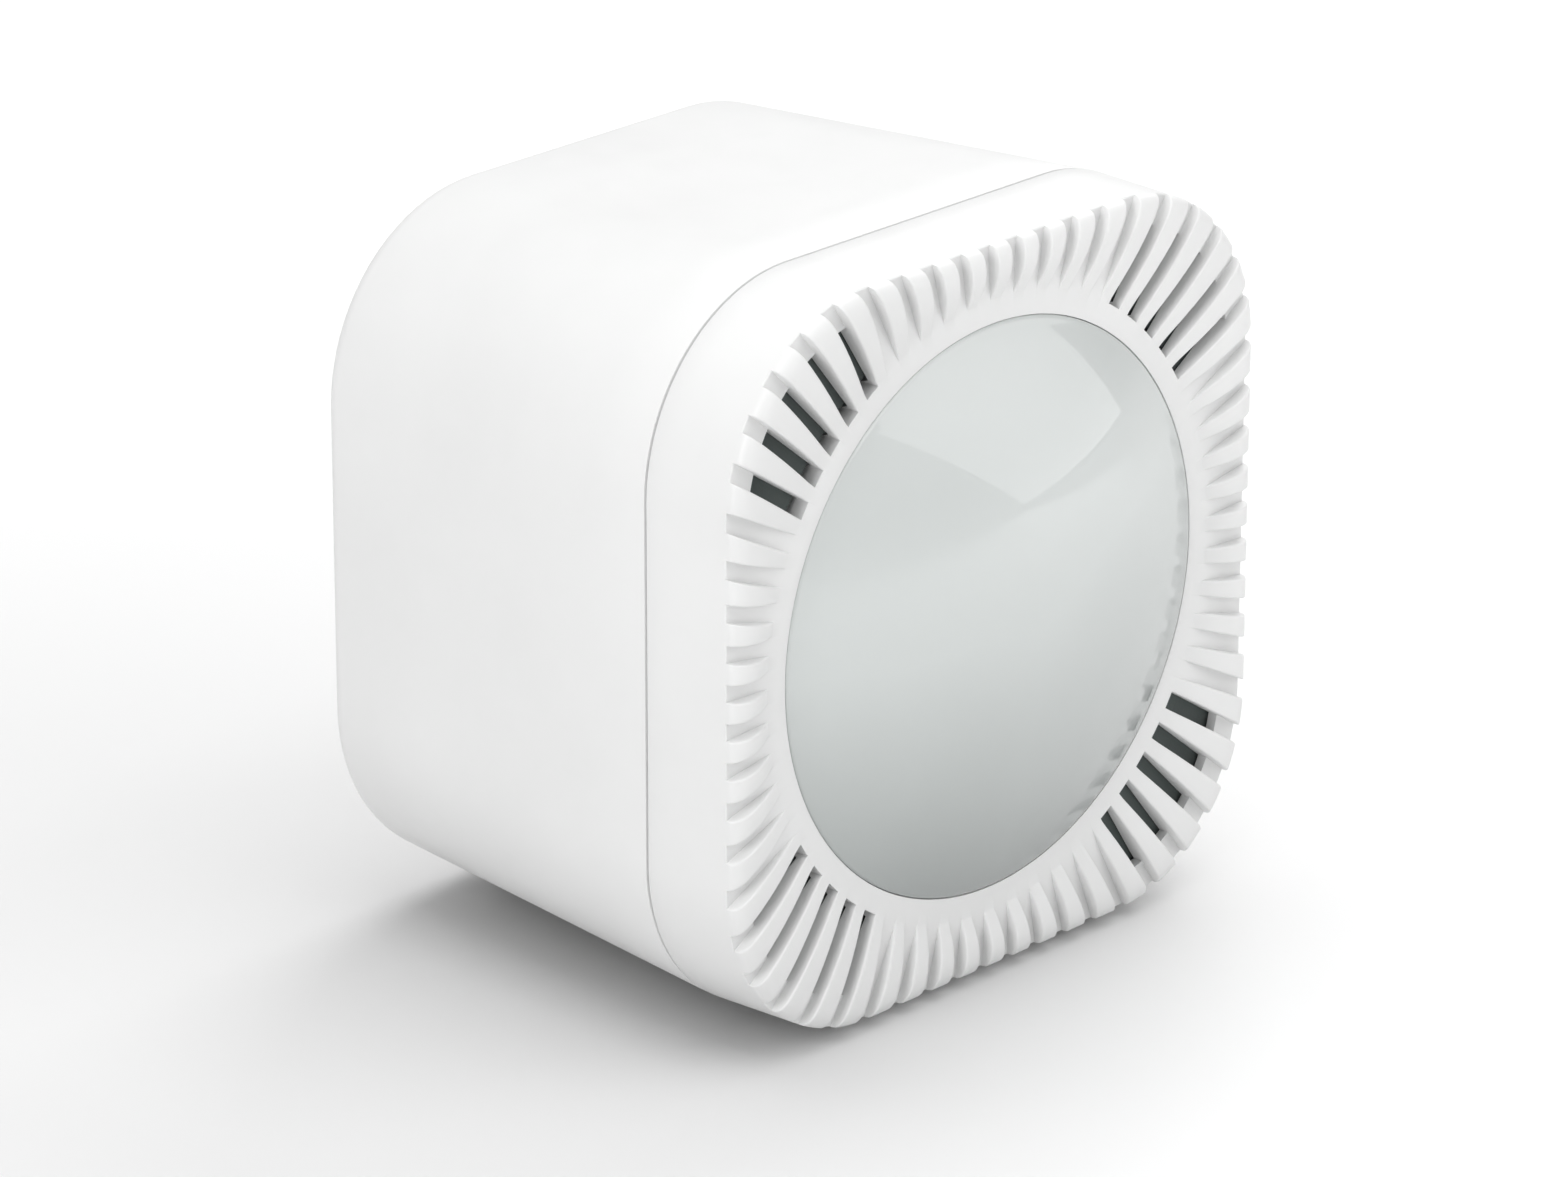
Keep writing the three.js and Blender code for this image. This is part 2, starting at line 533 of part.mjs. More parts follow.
function counterCover() {
  const { x, low, high, wall } = COUNTER;
  const front = TRAY_REAR + GAP;
  const lid = block([-x, front, low], [x, COUNTER_REAR, high]);
  const hollow = block([wall - x, front - PAST, low + wall], [x - wall, COUNTER_REAR - wall, high - wall]);
  const outletRadius = FAN.radius - 1;
  const outlet = rod(outletRadius, COUNTER_REAR - wall - PAST, COUNTER_REAR + PAST, { ...FAN, sides: ROUND });
  const guardFront = COUNTER_REAR - wall;
  const bar = 0.6;
  const reach = outletRadius + bar;
  const guard = [
    rod(FAN.hub - PAST, guardFront, COUNTER_REAR, FAN),
    block([FAN.x - reach, guardFront, FAN.z - bar], [FAN.x + reach, COUNTER_REAR, FAN.z + bar]),
    block([FAN.x - bar, guardFront, FAN.z - reach], [FAN.x + bar, COUNTER_REAR, FAN.z + reach]),
  ];
  return join([cut(lid, [hollow, outlet]), ...guard]);
}

function counterBoard() {
  const margin = COUNTER.wall + 0.5;
  return block(
    [margin - COUNTER.x, COUNTER_BOARD_REAR - BOARD_THIN, COUNTER.low + margin],
    [COUNTER.x - margin, COUNTER_BOARD_REAR, COUNTER.high - margin],
  );
}

function fanRotor() {
  const { x, z, hub, radius, height, blades, axle, skin } = FAN;
  const cup = turned([
    [0, AXLE_FRONT], [axle, AXLE_FRONT], [axle, ROTOR_REAR - skin], [hub - skin, ROTOR_REAR - skin],
    [hub - skin, ROTOR_FRONT], [hub, ROTOR_FRONT], [hub, ROTOR_REAR], [0, ROTOR_REAR],
  ], SMALL_ROUND).translate([x, 0, z]);
  const tilt = THREE.MathUtils.degToRad(FAN.tilt);
  const length = radius - hub + skin / 2;
  const vanes = Array.from({ length: blades }, (_, blade) => {
    const vane = new THREE.BoxGeometry(length, height * 0.9, skin);
    vane.rotateX(tilt).translate(radius - length / 2, (ROTOR_FRONT + ROTOR_REAR) / 2, 0);
    return solidOf(vane.rotateY((blade / blades) * 2 * Math.PI).translate(x, 0, z));
  });
  return join([cup, ...vanes]);
}

function fanMotor() {
  const rear = ROTOR_REAR - 2 * FAN.skin;
  const coil = ring(FAN.axle + GAP, COIL_RADIUS, COUNTER_BOARD_REAR + GAP, rear, SMALL_ROUND);
  return coil.translate([FAN.x, 0, FAN.z]);
}

function laserModule() {
  const { x, z, length, radius, lift } = LASER;
  const barrel = new THREE.CylinderGeometry(radius, radius, length, SMALL_ROUND).rotateZ(Math.PI / 2);
  return solidOf(barrel.translate(x, COUNTER_BOARD_REAR + lift, z));
}

function co2Sensor() {
  const [[x0, x1], [low, high]] = [CO2.x, CO2.z];
  const front = PARTS_FRONT - CO2.height;
  const slotEnd = (high - low) / 4;
  const slots = CO2.slots.map((x) => (
    block([x - 1, front - PAST, low + slotEnd], [x + 1, front + 1, high - slotEnd])));
  return cut(block([x0, front, low], [x1, PARTS_FRONT, high]), slots);
}

function mainBoard() {
  const board = loft([
    outline(BOARD_Y, BOARD_HALF, BOARD_CORNER), outline(BOARD_Y + BOARD_THICK, BOARD_HALF, BOARD_CORNER)]);
  const holes = mirrored(POST).map((at) => (
    rod(POST.tip + GAP, BOARD_Y - PAST, BOARD_Y + BOARD_THICK + PAST, at)));
  return cut(board, holes);
}

// A bar along Y with the stadium section of a USB socket.
function usbPrism(halfX, halfZ, y0, y1) {
  const core = halfX - halfZ;
  return join([
    rod(halfZ, y0, y1, { x: USB.x - core, z: USB.z }),
    rod(halfZ, y0, y1, { x: USB.x + core, z: USB.z }),
    block([USB.x - core, y0, USB.z - halfZ], [USB.x + core, y1, USB.z + halfZ]),
  ]);
}

const PARTS_REAR = BOARD_Y + BOARD_THICK + GAP; // where parts on the board's rear face start
const PARTS_FRONT = BOARD_Y - GAP; // where parts on its front face end

function usbShell() {
  const rear = DEPTH - GAP;
  const [halfX, halfZ] = [USB.width / 2, USB.height / 2];
  const mouth = usbPrism(halfX - USB.skin, halfZ - USB.skin, PARTS_REAR + PAST, rear + PAST);
  return usbPrism(halfX, halfZ, PARTS_REAR, rear).subtract(mouth);
}

function usbTongue() {
  const { halfX, halfZ } = TONGUE;
  const front = PARTS_REAR + PAST + GAP;
  const rear = DEPTH - 1.5;
  return block([USB.x - halfX, front, USB.z - halfZ], [USB.x + halfX, rear, USB.z + halfZ]);
}

const SWITCH_REAR = PARTS_REAR + SWITCH.height;
const PLUNGER_REAR = SWITCH_REAR + 1.6;

function tactSwitch() {
  const well = rod(SWITCH.bore, SWITCH_REAR - 2 * PAST, SWITCH_REAR + PAST, SWITCH);
  return tile(SWITCH, SWITCH.size, PARTS_REAR, SWITCH_REAR).subtract(well);
}

const PLUNGER_FRONT = SWITCH_REAR - 2 * PAST + BUTTON.travel + GAP;
const tactPlunger = () => rod(SWITCH.plunger, PLUNGER_FRONT, PLUNGER_REAR, SWITCH);

function rearButton() {
  const { radius, flange, proud, edge, travel } = BUTTON;
  const wallInside = DEPTH - REAR_WALL;
  const profile = [
    [0, PLUNGER_REAR + GAP], [SWITCH.plunger, PLUNGER_REAR + GAP], [SWITCH.plunger, wallInside - 1.5],
    [flange, wallInside - 1.5], [flange, wallInside - travel], [radius, wallInside - travel],
    [radius, DEPTH + proud - edge], [radius - edge, DEPTH + proud], [0, DEPTH + proud],
  ];
  return turned(profile).translate([SWITCH.x, 0, SWITCH.z]);
}

// A connector block at a place, from its front to its rear face.
const connector = ({ x, z }, front, rear) => (
  block([x - PLUG.halfX, front, z - PLUG.halfZ], [x + PLUG.halfX, rear, z + PLUG.halfZ]));
const COUNTER_SOCKET = { x: -20, z: -8 };
const COUNTER_SOCKET_REAR = COUNTER_REAR + GAP + 4;

// A round cable along a smooth curve through its points.
function cable(points, radius) {
  const section = new THREE.Shape();
  section.absarc(0, 0, radius, 0, 2 * Math.PI);
  const path = new THREE.CatmullRomCurve3(points.map((point) => new THREE.Vector3(...point)));
  const cord = new THREE.ExtrudeGeometry(section, { steps: 12, curveSegments: 4, extrudePath: path });
  return solidOf(cord);
}

function ledCable() {
  const { led } = BOARD_SOCKETS;
  const start = LED_PLUG.rear + GAP;
  const end = PARTS_FRONT - PLUG.height - GAP;
  return cable([
    [LED_PLUG.x, start, LED_PLUG.z], [LED_PLUG.x, start + 5, LED_PLUG.z - 0.5],
    [(LED_PLUG.x + led.x) / 2, (start + end) / 2, LED_PLUG.z - 2],
    [led.x, end - 5, led.z - 0.5], [led.x, end, led.z],
  ], 1.4);
}

function sensorCable() {
  const { sensor } = BOARD_SOCKETS;
  const y = (COUNTER_REAR + COUNTER_SOCKET_REAR) / 2 + GAP / 2;
  const end = PARTS_FRONT - PLUG.height - GAP;
  return cable([
    [COUNTER_SOCKET.x, y, COUNTER_SOCKET.z - PLUG.halfZ - GAP], [COUNTER_SOCKET.x, y, COUNTER_SOCKET.z - 6],
    [sensor.x, y + 1, sensor.z + 2], [sensor.x, end - 2, sensor.z], [sensor.x, end, sensor.z],
  ], 1.3);
}

// --- Assembly -------------------------------------------------------------------------------------

addPart('front_bezel', frontBezel(), WHITE_SHELL);
addPart('rear_housing', rearHousing(), WHITE_SHELL);
addPart('light_dome', lightDome(), SMOKED_LENS);
addPart('dome_gasket', domeGasket(), FOAM);
addPart('reflector_cup', reflectorCup(), REFLECTOR);
addPart('led_board', ledBoard(), GREEN_BOARD);
ledPlaces.forEach((at, led) => (
  addPart(`led_${led + 1}`, tile(at, LED_SIZE, REFLECTOR_FLOOR, REFLECTOR_FLOOR + LED_THICK), LED_PACKAGE)));
addPart('led_plug', block(
  [LED_PLUG.x - LED_PLUG.halfX, LED_BOARD_REAR + GAP, LED_PLUG.z - LED_PLUG.halfZ],
  [LED_PLUG.x + LED_PLUG.halfX, LED_PLUG.rear, LED_PLUG.z + LED_PLUG.halfZ],
), IVORY);
addPart('inner_chassis', innerChassis(), DARK_FRAME);

[0, 1, 2, 3].forEach((quarter) => addPart(`inlet_filter_${quarter + 1}`, inletFilter(quarter), FOAM));

const CLIMATE_SENSOR_REAR = CLIMATE_BOARD_FRONT - GAP;
addPart('climate_board', tile(CLIMATE, CLIMATE.board, CLIMATE_BOARD_FRONT, CLIMATE_BOARD_REAR), GREEN_BOARD);
addPart('climate_sensor', tile(
  CLIMATE, CLIMATE.sensor, CLIMATE_SENSOR_REAR - CLIMATE.sensorHeight, CLIMATE_SENSOR_REAR), BLACK_PLASTIC);

addPart('counter_tray', counterTray(), BLUE_CASE);
addPart('counter_cover', counterCover(), BLUE_CASE);
addPart('counter_board', counterBoard(), GREEN_BOARD);
addPart('fan_rotor', fanRotor(), BLACK_PLASTIC);
addPart('fan_motor', fanMotor(), COPPER);
addPart('laser_module', laserModule(), BRASS);
const PHOTODIODE_FRONT = COUNTER_BOARD_REAR + GAP;
const PHOTODIODE_REAR = PHOTODIODE_FRONT + PHOTODIODE.height;
addPart('photodiode', tile(PHOTODIODE, PHOTODIODE.size, PHOTODIODE_FRONT, PHOTODIODE_REAR), BLACK_PLASTIC);
addPart('counter_socket', connector(COUNTER_SOCKET, COUNTER_REAR + GAP, COUNTER_SOCKET_REAR), IVORY);

addPart('main_board', mainBoard(), GREEN_BOARD);
addPart('co2_sensor', co2Sensor(), GOLD_CASE);
addPart('led_socket', connector(BOARD_SOCKETS.led, PARTS_FRONT - PLUG.height, PARTS_FRONT), IVORY);
addPart('sensor_socket', connector(BOARD_SOCKETS.sensor, PARTS_FRONT - PLUG.height, PARTS_FRONT), IVORY);
addPart('led_cable', ledCable(), CABLE);
addPart('sensor_cable', sensorCable(), CABLE);
addPart('radio_shield', block(
  [-SHIELD.halfX, PARTS_REAR, SHIELD.z[0]], [SHIELD.halfX, PARTS_REAR + SHIELD.height, SHIELD.z[1]]), STEEL);
addPart('processor', tile(
  PROCESSOR, PROCESSOR.size, PARTS_REAR, PARTS_REAR + PROCESSOR.height), BLACK_PLASTIC);
addPart('capacitor', rod(CAPACITOR.radius, PARTS_REAR, PARTS_REAR + CAPACITOR.height, CAPACITOR), STEEL);
addPart('usb_shell', usbShell(), STEEL);
addPart('usb_tongue', usbTongue(), BLACK_PLASTIC);
addPart('tact_switch', tactSwitch(), BLACK_PLASTIC);
addPart('tact_plunger', tactPlunger(), BLACK_PLASTIC);
addPart('rear_button', rearButton(), WHITE_SHELL);

const BEZEL_SCREW_REAR = FLOOR_REAR + GAP + SCREW.headThick;
mirrored(BEZEL_SCREW).forEach((at, corner) => (
  addPart(`bezel_screw_${corner + 1}`, screw(BEZEL_SCREW_REAR, SCREW_LENGTH.front, at), STEEL)));
mirrored(POST).forEach((at, corner) => (
  addPart(`rear_screw_${corner + 1}`, screw(DEPTH - 0.2, SCREW_LENGTH.rear, at), STEEL)));
FOOT_ROWS.flatMap((y) => [-FOOT.x, FOOT.x].map((x) => ({ x, y }))).forEach(({ x, y }, foot) => {
  const pad = footDisc(FOOT.radius, x, y, -SEAM_HALF - FOOT.drop, footSeat(y) - GAP, FOOT.slope);
  addPart(`foot_${foot + 1}`, pad, RUBBER);
});

export default group;
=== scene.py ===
"""The looks of the air quality monitor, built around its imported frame.

Shapes are worked out in the casing's own millimetres: y = 0 is the flat ring around the dome, +y runs
back, z = 0 is mid height. place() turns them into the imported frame's metres.
"""

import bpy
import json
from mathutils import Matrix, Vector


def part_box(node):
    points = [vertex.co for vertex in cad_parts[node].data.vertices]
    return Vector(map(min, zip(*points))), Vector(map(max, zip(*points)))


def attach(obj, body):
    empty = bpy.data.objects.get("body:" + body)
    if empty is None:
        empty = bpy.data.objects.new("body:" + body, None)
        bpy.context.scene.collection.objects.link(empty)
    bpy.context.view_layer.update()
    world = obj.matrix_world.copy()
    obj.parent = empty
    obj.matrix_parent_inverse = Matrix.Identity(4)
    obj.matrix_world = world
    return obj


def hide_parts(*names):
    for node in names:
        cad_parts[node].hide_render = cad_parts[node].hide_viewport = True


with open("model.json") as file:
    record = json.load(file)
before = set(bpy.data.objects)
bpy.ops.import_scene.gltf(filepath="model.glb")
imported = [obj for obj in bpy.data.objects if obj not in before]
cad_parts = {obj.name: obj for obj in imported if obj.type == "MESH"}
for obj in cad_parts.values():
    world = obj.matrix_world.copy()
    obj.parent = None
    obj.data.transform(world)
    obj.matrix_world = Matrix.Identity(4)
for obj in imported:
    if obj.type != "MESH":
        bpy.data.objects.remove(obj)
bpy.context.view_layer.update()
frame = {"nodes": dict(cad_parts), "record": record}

import json
import math
from collections import namedtuple

import bmesh
import bpy
from mathutils import Matrix, Vector

MM = 0.001

# --- Driving dimensions, in millimetres: the casing's, as in the CAD ----------------------------------

SEAM_HALF = 42.5
SEAM_CORNER = 21.7
SEAM_Y = 11.5
SEAM_GAP = 0.3
FRONT_HALF = 42.2
FRONT_CORNER = 21.4
REAR_HALF_X = 39.5
REAR_HALF_Z = 40.0
REAR_CORNER = 22.3
REAR_EDGE = 2.6
DEPTH = 64.2
WALL = 2.2
REAR_WALL = 2.8
LIP = 0.15  # rounding of the two mouldings' edges at the seam
LIP_MIDDLE = LIP * 0.3  # how far the middle of that rounding is from the square edge
RIM = 1.0  # depth of the squared rim inside the housing's seam

# The plate of the front, with its ring, grooves, ribs and windows
PLATE = 2.6
WINDOW_PLATE = 1.2  # its thickness in the corner coves, behind the windows
COVE_HALF = 11.8
PLATE_STEP = 1.0  # the slope between the plate's back and the wall
RING_INNER = 33.05
RING_OUTER = 35.8
MOUTH_EDGE = 0.06
GROOVES = 60
GROOVE_HALF = 1.01
WINDOWS_PER_CORNER = 5
WINDOW_HALF = 38.9
WINDOW_CORNER = 19.1
RIB_RISE = 1.55
CREST_INSET = 2.0
ROLL_END = -0.35  # where a rib's roll over its crest meets the side wall
RIB_EDGE = 0.22
FLOOR_EDGE = 0.12

DOME_RADIUS = 33.0
DOME_RISE = 7.3
DOME_SKIN = 2.0
DOME_ROLL = 0.55
FLANGE_RADIUS = 35.0
FLANGE_FRONT = 4.2
FLANGE_REAR = 5.7
FLANGE_EDGE = 0.15

# The rear: places are (x, z) on its face
SLOTS = 7
SLOT_PITCH = 5.0
SLOT_HALF = 1.1
SLOT_LOW, SLOT_HIGH = 6.0, 24.0
REAR_ROUNDING = 0.18

USB = (0.0, -22.0)
USB_MOUTH = (4.9, 2.05)
USB_SHELL = (4.5, 1.65)
USB_SKIN = 0.3
USB_ROLL = 0.1
USB_FLOOR = 1.0

BUTTON = (14.0, -22.0)
BUTTON_HOLE = 4.0
BUTTON_RADIUS = 3.6
BUTTON_EDGE = 0.45
BUTTON_DISH = 0.25
BUTTON_DISH_RADIUS = 2.2
BUTTON_STEM = 1.7
BUTTON_FLANGE = 4.8
BUTTON_GAP = 0.5  # from the flange to the inside of the rear wall
BUTTON_FLANGE_THICKNESS = 1.0
BUTTON_CHAMFER = 0.1

POST = 27.0
CORNERS = [(POST, POST), (-POST, POST), (-POST, -POST), (POST, -POST)]
SCREW_HOLE = 1.4
COUNTERBORE = 2.6
COUNTERBORE_DEPTH = 1.8
SCREW_HEAD = 2.2
SCREW_HEAD_HEIGHT = 1.2
SCREW_HEAD_ROLL = 0.45
SCREW_HEAD_EDGE = 0.1
SCREW_HEAD_FLAT = 0.9
SCREW_TIP = 0.6
SCREW_TIP_LENGTH = 0.8
THREAD_CREST, THREAD_ROOT = 1.0, 0.82
THREAD_PITCH = 0.4
HEX_RADIUS = 0.85
HEX_DEPTH = 0.7

FOOT_X = 15.0
FOOT_ROWS = (18.0, 55.0)
FOOT_RADIUS = 4.0
FOOT_POCKET = 0.8
FOOT_CLEARANCE = 0.3
FOOT_ROLL = 0.5
FOOT_GROOVE = (1.2, 1.0, 0.9)  # a shallow ring in the sole: its inside, middle and outside, from the edge
FOOT_GROOVE_DEPTH = 0.12
FOOT_TOP_EDGE = 0.15

INNER_ROUNDING = 0.12  # of the edges of the CAD's inner pieces
OVERSHOOT = 1.0  # how far a cutter goes past what it cuts

# --- Resolution ---------------------------------------------------------------------------------------

FLOOR_WAYS = (-1, -1 / 3, 1 / 3, 1)  # columns over a groove's floor, in half widths
RIB_WAYS = (0.2, 0.4, 0.6, 0.8)  # columns over a rib, between its rounded edges
RIB_EDGE_TURNS = (0, 30, 60, 90)
RING_TO_WINDOW = (0, 0.06, 0.14, 0.25, 0.4, 0.55, 0.7, 0.85, 1)
WINDOW_TO_CREST = (0.33, 0.67, 1)
ROLL_TURNS = (15, 30, 45, 60, 75, 90)
MOUTH_TURNS = (30, 60, 90)
WALL_WAYS = (0.25, 0.5, 0.75, 1)
ROUND_END = 0.999  # a bar's corner radius, in half widths: under 1, so that its ends keep all their points

# --- Derived --------------------------------------------------------------------------------------------

PITCH = 2 * math.pi / GROOVES
INNER_REAR = DEPTH - REAR_WALL

BEZEL_LOW, BEZEL_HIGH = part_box("front_bezel")
RING_Y = BEZEL_LOW.y + RIB_RISE * MM
MID_Z = (BEZEL_LOW.z + BEZEL_HIGH.z) / 2


def place(x, y, z):
    """A point of the casing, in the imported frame."""
    return Vector((x * MM, RING_Y + y * MM, MID_Z + z * MM))


def span_y(node):
    """Front and rear ends of a CAD node, in the casing's millimetres."""
    low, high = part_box(node)
    return (low.y - RING_Y) / MM, (high.y - RING_Y) / MM


# --- Camera, made first -------------------------------------------------------------------------------

CAMERA_PLACE = (-613.2, -546.0, 318.1)
CAMERA_AZIMUTH, CAMERA_ELEVATION = -46.632, 21.044  # degrees
CAMERA_SENSOR = 36
CAMERA_LENS = 187.87
CAMERA_CLIP = (0.05, 20)


def make_camera():
    data = bpy.data.cameras.new("camera")
    data.sensor_width = CAMERA_SENSOR
    data.lens = CAMERA_LENS
    data.clip_start, data.clip_end = CAMERA_CLIP
    camera = bpy.data.objects.new("camera", data)
    bpy.context.scene.collection.objects.link(camera)
    camera.location = place(*CAMERA_PLACE)
    azimuth, elevation = math.radians(CAMERA_AZIMUTH), math.radians(CAMERA_ELEVATION)
    back = Vector((
        math.sin(azimuth) * math.cos(elevation),
        -math.cos(azimuth) * math.cos(elevation),
        math.sin(elevation)))
    camera.rotation_euler = (-back).to_track_quat("-Z", "Y").to_euler()
    bpy.context.scene.camera = camera


make_camera()

# --- Materials ----------------------------------------------------------------------------------------


class Nodes:
    """A short way to write a material's node tree."""

    def __init__(self, name):
        self.material = bpy.data.materials.new(name)
        self.material.use_nodes = True
        self.tree = self.material.node_tree
        self.shader = self.tree.nodes["Principled BSDF"]
        self.coords = self.tree.nodes.new("ShaderNodeTexCoord").outputs["Object"]

    def node(self, kind, links=(), **values):
        node = self.tree.nodes.new(kind)
        for key, value in values.items():
            if key in node.inputs:
                node.inputs[key].default_value = value
            else:
                setattr(node, key, value)
        for socket, source in dict(links).items():
            self.tree.links.new(source, node.inputs[socket])
        return node

    def noise(self, scale, detail=2.0, roughness=0.5, stretch=None):
        source = self.coords
        if stretch:
            mapping = self.node("ShaderNodeMapping", {"Vector": source})
            mapping.inputs["Scale"].default_value = stretch
            source = mapping.outputs["Vector"]
        node = self.node(
            "ShaderNodeTexNoise", {"Vector": source}, Scale=scale, Detail=detail, Roughness=roughness)
        return node.outputs["Fac"]

    def ramp(self, source, stops):
        node = self.node("ShaderNodeValToRGB", {"Fac": source})
        elements = node.color_ramp.elements
        while len(elements) < len(stops):
            elements.new(0.5)
        for element, (position, colour) in zip(elements, stops):
            element.position = position
            element.color = (*colour, 1)
        return node.outputs["Color"]

    def span(self, source, low, high, start=0.3, end=0.7):
        """Takes start..end of the source to low..high, and keeps within them."""
        node = self.node("ShaderNodeMapRange", {"Value": source})
        for key, value in (("From Min", start), ("From Max", end), ("To Min", low), ("To Max", high)):
            node.inputs[key].default_value = value
        return node.outputs["Result"]

    def plus(self, first, second):
        return self.node("ShaderNodeMath", {0: first, 1: second}, operation="ADD").outputs["Value"]

    def into(self, socket, source):
        self.tree.links.new(source, self.shader.inputs[socket])

    def bump(self, height, strength, distance):
        node = self.node("ShaderNodeBump", {"Height": height}, Strength=strength, Distance=distance)
        self.into("Normal", node.outputs["Normal"])

    def set(self, **values):
        for key, value in values.items():
            self.shader.inputs[key.replace("_", " ")].default_value = value
        return self.material


def tinted(colour, amount):
    return tuple(min(1.0, max(0.0, channel * (1 + amount))) for channel in colour)


def moulded(name, colour, roughness=0.5, grain=1500, depth=0.00001, variation=0.015, **values):
    """Moulded plastic or rubber: an eroded fine grain, a faint cloud in the colour and in the gloss."""
    nodes = Nodes(name)
    cloud = nodes.noise(scale=45, detail=4)
    nodes.into("Base Color", nodes.ramp(cloud, [
        (0.35, tinted(colour, -variation)), (0.65, tinted(colour, variation))]))
    gloss = nodes.noise(scale=260, detail=3)
    nodes.into("Roughness", nodes.span(gloss, low=roughness - 0.05, high=roughness + 0.05))
    nodes.bump(nodes.noise(scale=grain, detail=3, roughness=0.6), strength=0.35, distance=depth)
    return nodes.set(**values)


def plated(name, colour, roughness=0.32):
    """Turned or drawn metal with fine scratches along one direction."""
    nodes = Nodes(name)
    streaks = nodes.noise(scale=900, detail=5, roughness=0.7, stretch=(1, 0.08, 1))
    nodes.into("Base Color", nodes.ramp(streaks, [(0.3, tinted(colour, -0.12)), (0.7, tinted(colour, 0.06))]))
    nodes.into("Roughness", nodes.span(streaks, low=roughness - 0.08, high=roughness + 0.12))
    nodes.bump(streaks, strength=0.25, distance=0.00002)
    return nodes.set(Metallic=1.0)


def circuit_board(name):
    """Green solder mask, lighter along the tracks under it."""
    nodes = Nodes(name)
    tracks = nodes.node("ShaderNodeTexVoronoi", {"Vector": nodes.coords}, Scale=420, distance="CHEBYCHEV")
    tracks.feature = "DISTANCE_TO_EDGE"
    mask = nodes.ramp(tracks.outputs["Distance"], [
        (0.04, (0.035, 0.17, 0.075)), (0.09, (0.012, 0.085, 0.035)), (0.6, (0.016, 0.10, 0.04))])
    nodes.into("Base Color", mask)
    nodes.into("Roughness", nodes.span(nodes.noise(scale=500), low=0.28, high=0.42))
    nodes.bump(tracks.outputs["Distance"], strength=0.3, distance=0.00004)
    return nodes.set(Coat_Weight=0.4, Coat_Roughness=0.15)


DOME_SHADE_LEAN = 0.016  # metres by which the levels of the painted shade stand higher at the dome's right edge


def smoked_lens_painted_shade(name):
    """The dome: a glossy grey-green smoked lens, faintly clouded, with painted shade: its base colour darkens
    toward its lower right.
    """
    nodes = Nodes(name)
    axes = nodes.node("ShaderNodeSeparateXYZ", {"Vector": nodes.coords})
    radius = DOME_RADIUS * MM
    drift = nodes.span(nodes.noise(scale=35, detail=3), low=-0.0015, high=0.0015)
    shade_lean = nodes.span(axes.outputs["X"], low=0, high=-DOME_SHADE_LEAN, start=0, end=radius)
    height = nodes.plus(axes.outputs["Z"], nodes.plus(drift, shade_lean))
    shade_level = nodes.span(height, low=0, high=1, start=MID_Z - radius, end=MID_Z + radius)
    # Painted shade: the lens's grey-green darkens from the top down and toward the right, in place of shade
    nodes.into("Base Color", nodes.ramp(shade_level, [
        (0.0, (0.305, 0.325, 0.32)), (0.25, (0.425, 0.45, 0.443)), (0.5, (0.535, 0.562, 0.554)),
        (1.0, (0.56, 0.585, 0.577))]))
    nodes.into("Roughness", nodes.span(nodes.noise(scale=180, detail=2), low=0.3, high=0.36))
    nodes.bump(nodes.noise(scale=70, detail=1), strength=0.03, distance=0.00001)
    return nodes.set(Coat_Weight=1.0, Coat_Roughness=0.015, Coat_IOR=1.5)


MATERIALS = {
    "shell_white": moulded("shell_white", (0.732, 0.734, 0.732), 0.5),
    "dome_smoke": smoked_lens_painted_shade("dome_smoke"),
    "frame_dark": moulded("frame_dark", (0.050, 0.061, 0.057), 0.6, grain=900),
    "foam_dark": moulded("foam_dark", (0.085, 0.10, 0.096), 0.9, grain=2500, depth=0.00008, variation=0.15),
    "reflector_white": moulded("reflector_white", (0.88, 0.88, 0.87), 0.35, grain=600),
    "board_green": circuit_board("board_green"),
    "led_lens": moulded("led_lens", (0.86, 0.72, 0.32), 0.2, grain=500, Coat_Weight=0.6),
    "connector_ivory": moulded("connector_ivory", (0.74, 0.69, 0.56), 0.45),
    "cable_grey": moulded("cable_grey", (0.09, 0.095, 0.1), 0.55, grain=1200),
    "case_blue": moulded("case_blue", (0.03, 0.075, 0.22), 0.35, grain=900),
    "plastic_black": moulded("plastic_black", (0.012, 0.012, 0.013), 0.42, grain=1300),
    "copper": plated("copper", (0.70, 0.32, 0.16)),
    "brass": plated("brass", (0.76, 0.55, 0.20)),
    "steel": plated("steel", (0.60, 0.61, 0.62)),
    "gold_case": plated("gold_case", (0.74, 0.56, 0.24), 0.38),
    "rubber_dark": moulded("rubber_dark", (0.045, 0.046, 0.048), 0.85, grain=2200, depth=0.00003),
}

# --- Meshes -------------------------------------------------------------------------------------------


class Skin:
    """Vertices shared by place, and faces between them, in casing millimetres."""

    def __init__(self):
        self.points = []
        self.faces = []
        self.known = {}

    def point(self, x, y, z):
        key = (round(x, 4), round(y, 4), round(z, 4))
        if key not in self.known:
            self.known[key] = len(self.points)
            self.points.append((x, y, z))
        return self.known[key]

    def face(self, *corners):
        kept = [corner for step, corner in enumerate(corners) if corner != corners[step - 1]]
        if len(set(kept)) == len(kept) > 2:
            self.faces.append(kept)

    def cell(self, first, second, step):
        """One quad between two closed rows of points."""
        follow = (step + 1) % len(first)
        self.face(first[step], first[follow], second[follow], second[step])

    def strips(self, rows):
        """Quads between each closed row of points and the next."""
        for first, second in zip(rows, rows[1:]):
            for step in range(len(first)):
                self.cell(first, second, step)

    def cap(self, row):
        """One flat face over a closed row of points."""
        self.faces.append(list(row))


def new_object(name, mesh):
    piece = bpy.data.objects.new(name, mesh)
    bpy.context.scene.collection.objects.link(piece)
    return piece


